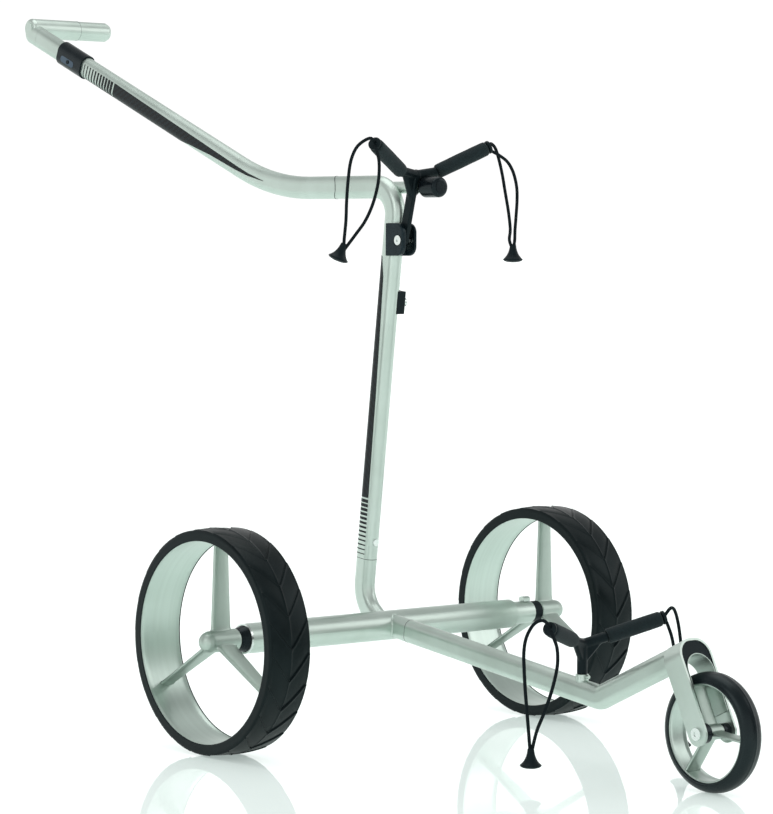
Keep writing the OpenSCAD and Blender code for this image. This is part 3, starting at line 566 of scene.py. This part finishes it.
CORD_R = 2.1 * MM
UPPER_ROUTE = [
    (80, 96, 764), (84, 108, 768), (79, 123, 758), (77, 132, 740), (79, 138, 716), (81, 142, 690),
    (81, 143, 665), (79, 144, 642), (77, 143, 628), (80.5, 138.5, 636), (88, 131, 650), (94, 124, 663),
    (99, 118, 679), (101, 112, 697), (101, 107, 717), (97, 103, 738), (89, 100, 752), (82, 97, 759),
]
UPPER_TURN = 8
UPPER_LEFT_ROUTE = [
    (80, 95, 759), (84, 102, 755), (86, 110, 751), (86, 124, 743), (85, 135, 730), (83, 143, 712),
    (82, 145, 694), (80, 145, 670), (79, 144.5, 655), (79, 144, 641), (77.5, 142.5, 629),
    (75.5, 138, 632), (76, 137.5, 642), (77, 138, 656), (77, 134.5, 679), (76, 129.5, 704),
    (75, 125, 727), (75, 119, 746), (76, 112, 760), (78, 103, 766), (80, 96, 765),
]
UPPER_LEFT_TURN = 10
UPPER_CONE = (77, 143, 613)
LOWER_ROUTE = [
    (407, 96, 185), (406, 107, 193), (402, 118, 189), (399, 127, 174), (399, 131, 156),
    (401, 132, 135), (403, 132, 112), (405, 131, 88), (406, 129, 64), (406, 127, 46),
    (407, 126, 34), (409, 123, 44), (410, 120, 62), (415, 114, 82), (419, 108, 102),
    (421, 102, 122), (422, 98, 142), (419, 96, 160), (413, 96, 172), (408, 96, 180),
]
LOWER_TURN = 10
LOWER_CONE = (407, 126, 19)
CONE_TOP = 22
UPPER_RIGHT_LEAN = math.radians(22)
CONE_PROFILE = [
    (0.0, 0.0), (0.1, 4.0), (0.7, 8.0), (1.8, 11.2), (3.0, 12.7), (3.9, 13.0), (4.6, 12.6),
    (5.6, 11.4), (7.2, 9.8), (9.4, 8.1), (12.0, 6.7), (15.0, 5.5), (18.0, 4.7), (21.0, 4.2),
    (23.0, 4.0), (23.8, 3.5), (24.0, 2.6), (23.2, 0.0),
]


def cone_puller(name, base, side, body, node_name, lean):
    """Rubber puller on a loop. It leans about its top, around the line of sight."""
    centre = Vector((base[0], side * base[1], base[2]))
    points, faces = capped(CONE_PROFILE, 56, rod_place(centre, Vector((0, 0, 1))))
    top = at(centre[0], centre[1], centre[2] + CONE_TOP)
    turn = Matrix.Rotation(lean, 3, camera_axes()[2])
    points = [top + turn @ (p - top) for p in points]
    return add_piece(name, points, faces, black_plastic, body, (node_name,), "black_plastic")


def cord_strands(tag, route, turn, side, body, node_name, cone):
    """The two strands of one elastic loop, from the arm's tip to the puller."""
    ways = (("front", route[:turn + 1]), ("back", route[:turn + 1:-1] + [route[turn]]))
    for part, way in ways:
        knots = [at(x, side * y, z) for x, y, z in way]
        line = smooth_line(knots, 4)
        length = sum((b - a).length for a, b in zip(line, line[1:]))
        strand = tube_piece(f"{tag}_cord_{part}", line, CORD_R, 14, cord_braid, body,
                            instead_of=(node_name,), finish_slot="cord")
        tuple(line[0])


for side, side_name, upper_lean in ((-1, "right", UPPER_RIGHT_LEAN), (1, "left", 0.0)):
    upper = cone_puller(f"upper_{side_name}_cone", UPPER_CONE, side, "upper_holder",
                        "upper_cones", upper_lean)
    upper_way = (UPPER_ROUTE, UPPER_TURN) if side < 0 else (UPPER_LEFT_ROUTE, UPPER_LEFT_TURN)
    cord_strands(f"upper_{side_name}", *upper_way, side, "upper_holder",
                 f"upper_{side_name}_cord", upper)
    lower = cone_puller(f"lower_{side_name}_cone", LOWER_CONE, side, "lower_holder",
                        "lower_cones", 0.0)
    cord_strands(f"lower_{side_name}", LOWER_ROUTE, LOWER_TURN, side, "lower_holder",
                 f"lower_{side_name}_cord", lower)

# ---------------------------------------------------------------- bag holders

SLEEVE_BORE = 6.15
WEB_R = 4.2
WEB_SHARE = 0.78
WEB_RINGS = (0.5, 1.2, 1.94, 2.64)
UPPER_STEM_SHARE = 0.66
LOWER_STEM_DROP = 22
HOLDER_VOXEL = 0.75
SMALL_VOXEL = 0.6
UPPER_NODE = (48.5, 0, 724.3)
UPPER_KINK = (54.4, 30.4, 729)
UPPER_END = (79, 93, 760)
LOWER_NODE = (362, 0, 152.5)
LOWER_KINK = (375, 29, 161)
LOWER_END = (404, 92, 181)
UPPER_PIVOT = Vector((27.3, 0, 641))


def vec(point, side=1):
    return Vector((point[0], side * point[1], point[2]))


def web(points, radius):
    """Convex web around small spheres at some points, in millimetres."""
    cloud = []
    for p in points:
        for theta in WEB_RINGS:
            for k in range(8):
                turn = math.tau * k / 8
                cloud.append(at(*(p + radius * Vector((
                    math.sin(theta) * math.cos(turn), math.sin(theta) * math.sin(turn),
                    math.cos(theta))))))
    return wrap(cloud)


def arm_webs(node_at, kink, foot, radius):
    """Webs from a stem up to both arms."""
    webs = []
    middle = vec(node_at)
    for side in (-1, 1):
        bend = vec(kink, side)
        webs.append(web([middle, foot, middle.lerp(bend, WEB_SHARE)], radius))
    return webs


def holder_casting(node_name, node_at, kink, foot, body):
    """Bag holder's bracket, with webs from its stem to its arms, cast in one."""
    solids = [cad_solid(node_name)] + arm_webs(node_at, kink, foot, WEB_R)
    cast(f"{node_name}_casting", solids, HOLDER_VOXEL, 7, black_plastic, body, (node_name,))


def make_holders():
    stem = vec(UPPER_NODE) - UPPER_PIVOT
    upper_foot = UPPER_PIVOT + stem * UPPER_STEM_SHARE + Vector((0, -2, 0))
    holder_casting("upper_bracket", UPPER_NODE, UPPER_KINK, upper_foot, "upper_holder")
    lower_foot = vec(LOWER_NODE) - Vector((0, 0, LOWER_STEM_DROP))
    holder_casting("lower_bracket", LOWER_NODE, LOWER_KINK, lower_foot, "lower_holder")
    cast("stub_cap_casting", [cad_solid("stub_cap")], SMALL_VOXEL, 6, gloss_plastic, "cap",
         ("stub_cap",))
    cast("clamp_casting", [cad_solid("bracket_clamp")], SMALL_VOXEL, 12, clamp_plastic, "shaft",
         ("bracket_clamp",))


def foam_sleeve(name, kink, end, side, body, node_name):
    """Foam tube, a little swollen between its ends, with soft lips where it was cut."""
    start, stop = vec(kink, side), vec(end, side)
    length = (stop - start).length
    profile = [(0.4, SLEEVE_BORE), (0.0, 7.0), (0.2, 8.2), (1.2, 9.0), (3.2, 9.3)]
    swells = 9
    for k in range(1, swells):
        share = k / swells
        ripple = 0.07 * math.sin(5.1 * share * math.pi + side)
        swell = 0.22 * math.sin(math.pi * share)
        profile.append((3.2 + share * (length - 6.4), 9.3 + swell + ripple))
    profile += [(length - 3.2, 9.3), (length - 1.2, 9.0), (length - 0.2, 8.2), (length, 7.0),
                (length - 0.4, SLEEVE_BORE)]
    points, faces = revolved(profile, 48, rod_place(start, stop - start))
    sleeve = add_piece(name, points, faces, sleeve_foam, body, (node_name,), "foam")


make_holders()
for side, side_name in ((-1, "right"), (1, "left")):
    foam_sleeve(f"upper_{side_name}_sleeve", UPPER_KINK, UPPER_END, side, "upper_holder",
                "upper_sleeves")
    foam_sleeve(f"lower_{side_name}_sleeve", LOWER_KINK, LOWER_END, side, "lower_holder",
                "lower_sleeves")

# ---------------------------------------------------------------- wheels

REAR_R = 142.0
RIM_R = 129.5
REAR_MIDDLE = 274.75
HALF_TREAD = 28.6
CREST_DROP = 0.15
SHOULDER_DROP = 1.1
RIB_RISE = 0.55
RIB_SHARE = 0.055
BLOCK_DROP = 0.45
EDGE_SHARE = 0.9
EDGE_FADE = 0.35
TREADS = 22
TREAD_RISE = 1.25
APEX_ROUNDING = 1.5
TREAD_ROWS = 37
RIM_HALF = 30.25
REAR_RIM_OUTER, REAR_RIM_INNER = 129.45, 127.5
FRONT_RIM_HALF = 13.7
FRONT_RIM_OUTER, FRONT_RIM_INNER = 58.95, 57.1
SPOKE_Y = 275.0
REAR_BLADE_REACH = 127.48
FRONT_BLADE_REACH = 57.0
BLADE_ORIGIN = 8
HUB_FLARE = 10
ROOT_FADE = 12
RIM_FLARE = 5
DOME_BASE = 294.2
DOME_HEIGHT = 11.6
DOME_R = 12.6

# One pitch of the tread: (share of the pitch, depth under the crest)
TREAD_SHAPE = (
    (0.0, 0.0), (0.018, 0.0), (0.032, 0.5), (0.048, 1.7), (0.075, 1.8), (0.12, 1.55), (0.22, 1.1),
    (0.36, 0.8), (0.55, 0.62), (0.75, 0.5), (0.9, 0.42), (0.955, 0.35), (0.98, 0.08),
)

# One shoulder and flank of the tyre: (distance from the middle, radius, share of the tread's depth)
TYRE_FLANK = (
    (29.9, 139.9, 0.35), (30.7, 138.6, 0.12), (31.15, 136.9, 0.0), (31.25, 134.6, 0.0),
    (31.1, 132.2, 0.0), (31.2, 130.6, 0.0), (31.25, 127.6, 0.0), (31.15, 126.4, 0.0),
    (30.85, 126.0, 0.0), (30.5, 126.3, 0.0), (30.4, 129.52, 0.0),
)


def tread_row(y):
    """Radius of the tread's crest at a distance from the middle, and its share of the depth."""
    share = abs(y) / HALF_TREAD
    radius = REAR_R - CREST_DROP - SHOULDER_DROP * share ** 3
    radius += RIB_RISE * max(0.0, 1.0 - share / RIB_SHARE) - BLOCK_DROP
    fade = 1.0 - max(0.0, share - EDGE_SHARE) / (1.0 - EDGE_SHARE) * EDGE_FADE
    return radius, fade


def rear_tyre(name, side, body, node_name):
    """Tyre whose tread is a row of overlapping chevrons that run down both shoulders."""
    section = []
    for i in range(TREAD_ROWS):
        y = HALF_TREAD * (2 * i / (TREAD_ROWS - 1) - 1)
        section.append((y, *tread_row(y), abs(y)))
    section += [(y, r, fade, HALF_TREAD) for y, r, fade in TYRE_FLANK]
    section.append((0.0, RIM_R + 0.02, 0.0, HALF_TREAD))
    section += [(-y, r, fade, HALF_TREAD) for y, r, fade in reversed(TYRE_FLANK)]
    points = []
    columns = TREADS * len(TREAD_SHAPE)
    for j in range(columns):
        pitch, k = divmod(j, len(TREAD_SHAPE))
        phase, depth = TREAD_SHAPE[k]
        start = math.tau * (pitch + phase) / TREADS
        for y, radius, fade, lead in section:
            r = radius - depth * fade
            angle = start + math.sqrt(lead ** 2 + APEX_ROUNDING) * TREAD_RISE / REAR_R
            points.append(at(r * math.cos(angle), side * REAR_MIDDLE + y,
                             AXLE_Z + r * math.sin(angle)))
    faces = grid_faces(columns, len(section), True, True)
    add_piece(name, points, faces, tyre_rubber, body, (node_name,), "tyre_rubber", 38)


def barrel(name, centre, half, outer, inner, steps, material, body, node_name):
    """Rolled rim: a thin barrel with a bevelled, rounded lip at each edge."""
    lip = [(half, outer - 0.2), (half, inner - 0.5), (half - 0.35, inner - 0.95),
           (half - 1.0, inner - 1.0), (half - 1.7, inner - 0.8), (half - 4.4, inner - 0.12),
           (half - 5.4, inner)]
    profile = [(-half, outer - 0.2), (-half + 0.2, outer), (half - 0.2, outer)]
    profile += lip
    profile += [(half * k / 6, inner) for k in range(4, -5, -1)]
    profile += [(-a, r) for a, r in reversed(lip[1:])]
    points, faces = revolved(profile, steps, wheel_place(*centre))
    add_piece(name, points, faces, material, body, (node_name,), "wheel_metal", 50)


def blade(x, y, z, angle, reach, hub_r, hub_chord, rim_chord, thick, flare, rounding=2.0):
    """Closed spoke blade from the hub to the rim, of lens section, flared at both ends."""
    flare_end = hub_r + HUB_FLARE
    stations = [hub_r + step for step in (-8, -5, -2, -1, 0, 1.5, 3.5, 6, 10)]
    middle = reach - RIM_FLARE - flare_end
    stations += [flare_end + middle * k / 6 for k in range(1, 7)]
    stations += [reach - step for step in (3.6, 2.3, 1.1, 0)]
    sides = 28
    points = []
    radial = Vector((math.cos(angle), 0, math.sin(angle)))
    tangent = Vector((-math.sin(angle), 0, math.cos(angle)))
    centre = Vector((x, y, z))
    for r in stations:
        share = (r - BLADE_ORIGIN) / (reach - BLADE_ORIGIN)
        chord = hub_chord + (rim_chord - hub_chord) * share
        depth = thick * (1 - 0.12 * share)
        root = max(0.0, (flare_end - r) / ROOT_FADE)
        foot = max(0.0, (r - (reach - RIM_FLARE)) / RIM_FLARE)
        depth += flare * root ** 2 + 2.2 * foot ** 2
        chord += 0.6 * root ** 2 + 2.2 * foot ** 2
        for k in range(sides):
            turn = math.tau * k / sides
            wide = math.copysign(abs(math.cos(turn)) ** (2 / rounding), math.cos(turn))
            deep = math.copysign(abs(math.sin(turn)) ** (2 / rounding), math.sin(turn))
            p = centre + r * radial + Vector((0, chord / 2 * wide, 0)) + depth / 2 * deep * tangent
            points.append(at(*p))
    faces = grid_faces(len(stations), sides)
    faces.append(tuple(range(sides)))
    faces.append(tuple((len(stations) - 1) * sides + k for k in range(sides)))
    return points, faces


def rear_casting(name, side, hub_r, hub_start, body, node_name):
    """Three blades and a domed hub, cast in one."""
    blades = [blade(0, side * SPOKE_Y, AXLE_Z, math.radians(a), REAR_BLADE_REACH, 14, 30.5,
                    21.0, 6.8, 2.5, 2.5)
              for a in (90, 210, 330)]
    profile = [(hub_start, 0), (hub_start, hub_r - 0.8), (hub_start + 0.8, hub_r),
               (292.5, hub_r - 0.4), (295, hub_r - 0.9)]
    for k in range(1, 9):
        turn = math.pi / 2 * k / 9
        profile.append((DOME_BASE + DOME_HEIGHT * math.sin(turn), DOME_R * math.cos(turn)))
    profile.append((DOME_BASE + DOME_HEIGHT, 0))
    place = wheel_place(0, 0, AXLE_Z)
    profile = [(side * axial, radius) for axial, radius in profile]
    cast(name, blades + [capped(profile, 56, place)], 0.9, 5, cast_metal, body,
         (node_name,))


def front_casting():
    blades = [blade(FRONT_X, 0, FRONT_Z, math.radians(a), FRONT_BLADE_REACH, 9, 22.0, 23.5, 5.2,
                    2.0, 3.0)
              for a in (116, 236, 356)]
    profile = [(-12, 0), (-12, 8.2), (-11.2, 9), (11.2, 9), (12, 8.2), (12, 0)]
    hub = capped(profile, 48, wheel_place(FRONT_X, 0, FRONT_Z))
    cast("front_spoke_casting", blades + [hub], 0.6, 4, cast_metal, "front_wheel",
         ("front_spokes",))


def front_tyre():
    """Round-shouldered tyre with a fine bead line on each flank and a moulding line."""
    half = [(0.0, 70.95), (0.35, 70.95), (0.6, 70.8), (3.0, 70.7), (6.5, 70.0), (9.5, 68.6),
            (12.0, 66.4), (13.7, 63.6), (14.4, 61.6), (14.45, 61.2), (14.1, 60.9), (14.5, 60.5),
            (14.7, 59.6), (14.7, 58.4), (14.4, 57.9), (13.95, 58.1), (13.75, 59.02)]
    profile = half + [(0.0, 59.02)] + [(-a, r) for a, r in reversed(half[1:])]
    points, faces = revolved(profile, 180, wheel_place(FRONT_X, 0, FRONT_Z))
    add_piece("front_tyre_casing", points, faces, front_rubber, "front_wheel", ("front_tyre",),
              "tyre_rubber", 55)


for side, side_name, hub_r, hub_start in ((-1, "right", 14.0, 251.5), (1, "left", 13.5, 261.5)):
    body = f"{side_name}_wheel"
    rear_tyre(f"{side_name}_tyre_casing", side, body, f"{side_name}_tyre")
    barrel(f"{side_name}_barrel", (0, side * REAR_MIDDLE, AXLE_Z), RIM_HALF, REAR_RIM_OUTER,
           REAR_RIM_INNER, 220, rear_barrel, body, f"{side_name}_rim")
    rear_casting(f"{side_name}_spoke_casting", side, hub_r, hub_start, body,
                 f"{side_name}_spokes")
front_tyre()
barrel("front_barrel_rim", (FRONT_X, 0, FRONT_Z), FRONT_RIM_HALF, FRONT_RIM_OUTER,
       FRONT_RIM_INNER, 140, front_barrel, "front_wheel", "front_rim")
front_casting()

# ---------------------------------------------------------------- seams and welds

HALF_DEEP = 15.0
HALF_WIDE = 10.0
AXLE_TUBE_R = 19.0
WELD_R = 1.5
WELD_REACH = 60
NECK_SEAM = 42.3
SHAFT_SEAM_Z = 226
HANDLE_SEAM_X = -117.2
HANDLE_SEAM_BOW = 16.1
GRIP_X = -815
GRIP_RISE = 240
KNOB_SEAM_Y = 75.0


def oval_outline(count, grow=0.0):
    """Points (deep, wide) around the frame tubes' oval section."""
    flat = HALF_DEEP - HALF_WIDE
    outline = []
    for k in range(count):
        turn = math.tau * k / count
        centre = flat if math.cos(turn) >= 0 else -flat
        outline.append((centre + (HALF_WIDE + grow) * math.cos(turn),
                        (HALF_WIDE + grow) * math.sin(turn)))
    return outline


def tube_normal(direction):
    """Unit vector across a tube in the upright plane."""
    return Vector((-direction.z, 0, direction.x))


def weld_loop(name, start, direction, target, target_r, body, radius):
    """Smooth fillet where an oval tube meets a round tube that lies across the trolley."""
    direction = direction.normalized()
    across = tube_normal(direction)
    loop = []
    for deep, wide in oval_outline(64):
        p = start + deep * across
        offset = Vector((p.x - target[0], 0, p.z - target[1]))
        half = offset.dot(direction)
        rest = offset.length_squared - target_r ** 2
        root = half * half - rest
        if root < 0:
            return
        p = p + (-half + math.sqrt(root)) * direction
        loop.append(at(p.x, wide, p.z))
    tube_piece(name, loop, radius * MM, 10, frame_metal, body, closed=True,
               finish_slot="frame_metal")


def seam_loop(name, start, direction, body, radius=0.42, bow=None):
    """Dark joint line around an oval tube, flat or bowed along a cylinder across the tube."""
    direction = direction.normalized()
    across = tube_normal(direction)
    loop = []
    for deep, wide in oval_outline(72, -0.22):
        along = math.sqrt(bow ** 2 - deep ** 2) if bow else 0.0
        p = start + deep * across + along * direction
        loop.append(at(p.x, wide, p.z))
    tube_piece(name, loop, radius * MM, 6, seam_black, body, closed=True)


NECK_DIR = Vector((math.cos(math.radians(7.6)), 0, -math.sin(math.radians(7.6))))
NECK_START = Vector((0, 0, AXLE_Z + 1.4))
SHAFT_MARK_X, SHAFT_MARK_Z = -44, 236
STUB_LOW_Z = 195
ELBOW_LOW_Z = 669.6
ELBOW_R = 36
SHAFT_DIR = Vector((math.sin(SHAFT_LEAN), 0, math.cos(SHAFT_LEAN)))
STUB_TURN = math.radians(58.8)
STUB_BEND_R = 45.0


def shaft_at(z):
    return Vector((SHAFT_MARK_X + math.tan(SHAFT_LEAN) * (z - SHAFT_MARK_Z), 0, z))


def make_seams():
    axle = (0, AXLE_Z)
    weld_loop("neck_weld", NECK_START, NECK_DIR, axle, AXLE_TUBE_R, "chassis", WELD_R)
    across_shaft = Vector((math.cos(SHAFT_LEAN), 0, -math.sin(SHAFT_LEAN)))
    centre = shaft_at(STUB_LOW_Z) + STUB_BEND_R * across_shaft
    leave = STUB_TURN + math.pi - SHAFT_LEAN
    low_end = centre + STUB_BEND_R * Vector((math.cos(leave), 0, math.sin(leave)))
    into = Vector((-math.sin(leave), 0, math.cos(leave)))
    weld_loop("stub_weld", low_end + WELD_REACH * into, -into, axle, AXLE_TUBE_R, "chassis", WELD_R)
    seam_loop("neck_seam_line", NECK_START + NECK_SEAM * NECK_DIR, NECK_DIR, "chassis")
    seam_loop("shaft_seam_line", shaft_at(SHAFT_SEAM_Z), SHAFT_DIR, "chassis")
    level_z = frame_level()
    seam_loop("handle_seam_line", Vector((HANDLE_SEAM_X, 0, level_z)), Vector((1, 0, 0)), "shaft",
              0.6, bow=HANDLE_SEAM_BOW)
    ring = [(0.0, 14.2), (0.0, 14.62), (0.3, 14.62), (0.3, 14.2)]
    points, faces = revolved(ring, 64, wheel_place(GRIP_X, KNOB_SEAM_Y, level_z + GRIP_RISE))
    add_piece("knob_seam_ring", points, faces, seam_black, "handle")


def frame_level():
    """Height of the shaft's level top part, from its elbow."""
    return ELBOW_LOW_Z + ELBOW_R * math.sin(SHAFT_LEAN) + ELBOW_R


make_seams()

# ---------------------------------------------------------------- floor, light and air

FLOOR_REACH = 90
FLAG_DISTANCE = 3.6
FLAG_BOTTOM = 0.05
FLAG_TOP = 3.4
FLAG_SHADE = 0.12


def flat_mesh(name, corners, material):
    mesh = bpy.data.meshes.new(name)
    mesh.from_pydata([tuple(c) for c in corners], [], [tuple(range(len(corners)))])
    mesh.materials.append(material)
    made = bpy.data.objects.new(name, mesh)
    bpy.context.scene.collection.objects.link(made)
    return made


def make_floor():
    material, tree, shader = new_material("floor", Specular_IOR_Level=0.42)
    place = object_vector(tree)
    fine = noise(tree, place, 6.0, 3.0, 0.5)
    colour = blend_colour(tree, fine, (0.87, 0.925, 0.905, 1), (0.88, 0.935, 0.915, 1))
    finish_material(tree, shader, colour, ramp(tree, fine, 0.3, 0.7, 0.025, 0.035))
    shader.inputs["Emission Color"].default_value = (0.86, 1.0, 0.95, 1)
    shader.inputs["Emission Strength"].default_value = 0.36
    flat_mesh("floor", [(-FLOOR_REACH, -FLOOR_REACH, 0), (FLOOR_REACH, -FLOOR_REACH, 0),
                        (FLOOR_REACH, FLOOR_REACH, 0), (-FLOOR_REACH, FLOOR_REACH, 0)], material)


def area_light(name, place, target, width, height, power, tint=(1, 1, 1)):
    data = bpy.data.lights.new(name, "AREA")
    data.shape = "RECTANGLE"
    data.size = width
    data.size_y = height
    data.energy = power
    data.color = tint
    light = bpy.data.objects.new(name, data)
    bpy.context.scene.collection.objects.link(light)
    light.location = place
    light.rotation_euler = (Vector(target) - Vector(place)).to_track_quat("-Z", "Y").to_euler()


def dark_flag(name, azimuth, width):
    """Upright grey panel with soft edges that only the reflections see."""
    material, tree, shader = new_material(name, Roughness=1.0, Specular_IOR_Level=0.0)
    place = object_vector(tree)
    mottle = noise(tree, place, 1.5, 2.0, 0.5)
    dark = (FLAG_SHADE, FLAG_SHADE, FLAG_SHADE, 1)
    light = (FLAG_SHADE * 1.3, FLAG_SHADE * 1.3, FLAG_SHADE * 1.3, 1)
    finish_material(tree, shader, blend_colour(tree, mottle, dark, light))
    share = node(tree, "ShaderNodeSeparateXYZ", {
        0: node(tree, "ShaderNodeTexCoord").outputs["Generated"]}).outputs
    sides = ramp(tree, math_node(tree, "PINGPONG", share[0], 0.5), 0.0, 0.3, 0.0, 1.0)
    crown = ramp(tree, share[2], 1.0, 0.55, 0.0, 1.0)
    tree.links.new(math_node(tree, "MULTIPLY", sides, crown), shader.inputs["Alpha"])
    turn = math.radians(azimuth)
    out = Vector((math.cos(turn), math.sin(turn), 0)) * FLAG_DISTANCE
    side = Vector((-math.sin(turn), math.cos(turn), 0)) * width / 2
    low = Vector((0, 0, FLAG_BOTTOM))
    high = Vector((0, 0, FLAG_TOP))
    corners = [out - side + low, out + side + low, out + side + high, out - side + high]
    panel = flat_mesh(name, corners, material)
    panel.visible_camera = False
    panel.visible_shadow = False
    panel.visible_diffuse = False


def make_world():
    world = bpy.data.worlds.new("studio")
    bpy.context.scene.world = world
    world.use_nodes = True
    tree = world.node_tree
    background = next(n for n in tree.nodes if n.type == "BACKGROUND")
    place = node(tree, "ShaderNodeTexCoord").outputs["Generated"]
    height = node(tree, "ShaderNodeSeparateXYZ", {0: place}).outputs[2]
    share = ramp(tree, height, 0.30, 0.68, 0.0, 1.0)
    colour = blend_colour(tree, share, (1.0, 1.0, 1.0, 1), (0.46, 0.47, 0.47, 1))
    tree.links.new(colour, background.inputs["Color"])
    background.inputs["Strength"].default_value = 1.05


make_floor()
make_world()
area_light("top_light", (-0.3, 0.0, 3.2), (0, 0, 0.3), 3.2, 2.2, 30)
area_light("side_light", (2.2, 2.6, 2.0), (0, 0, 0.5), 1.6, 2.2, 14)
area_light("near_light", (0.4, -3.6, 1.9), (0, 0, 0.5), 1.8, 2.0, 14)
dark_flag("near_flag", -112, 2.1)
dark_flag("far_flag", 28, 2.0)

view = bpy.context.scene.view_settings
view.view_transform = "Standard"
view.look = "None"
view.exposure = 0.0

bpy.context.view_layer.update()
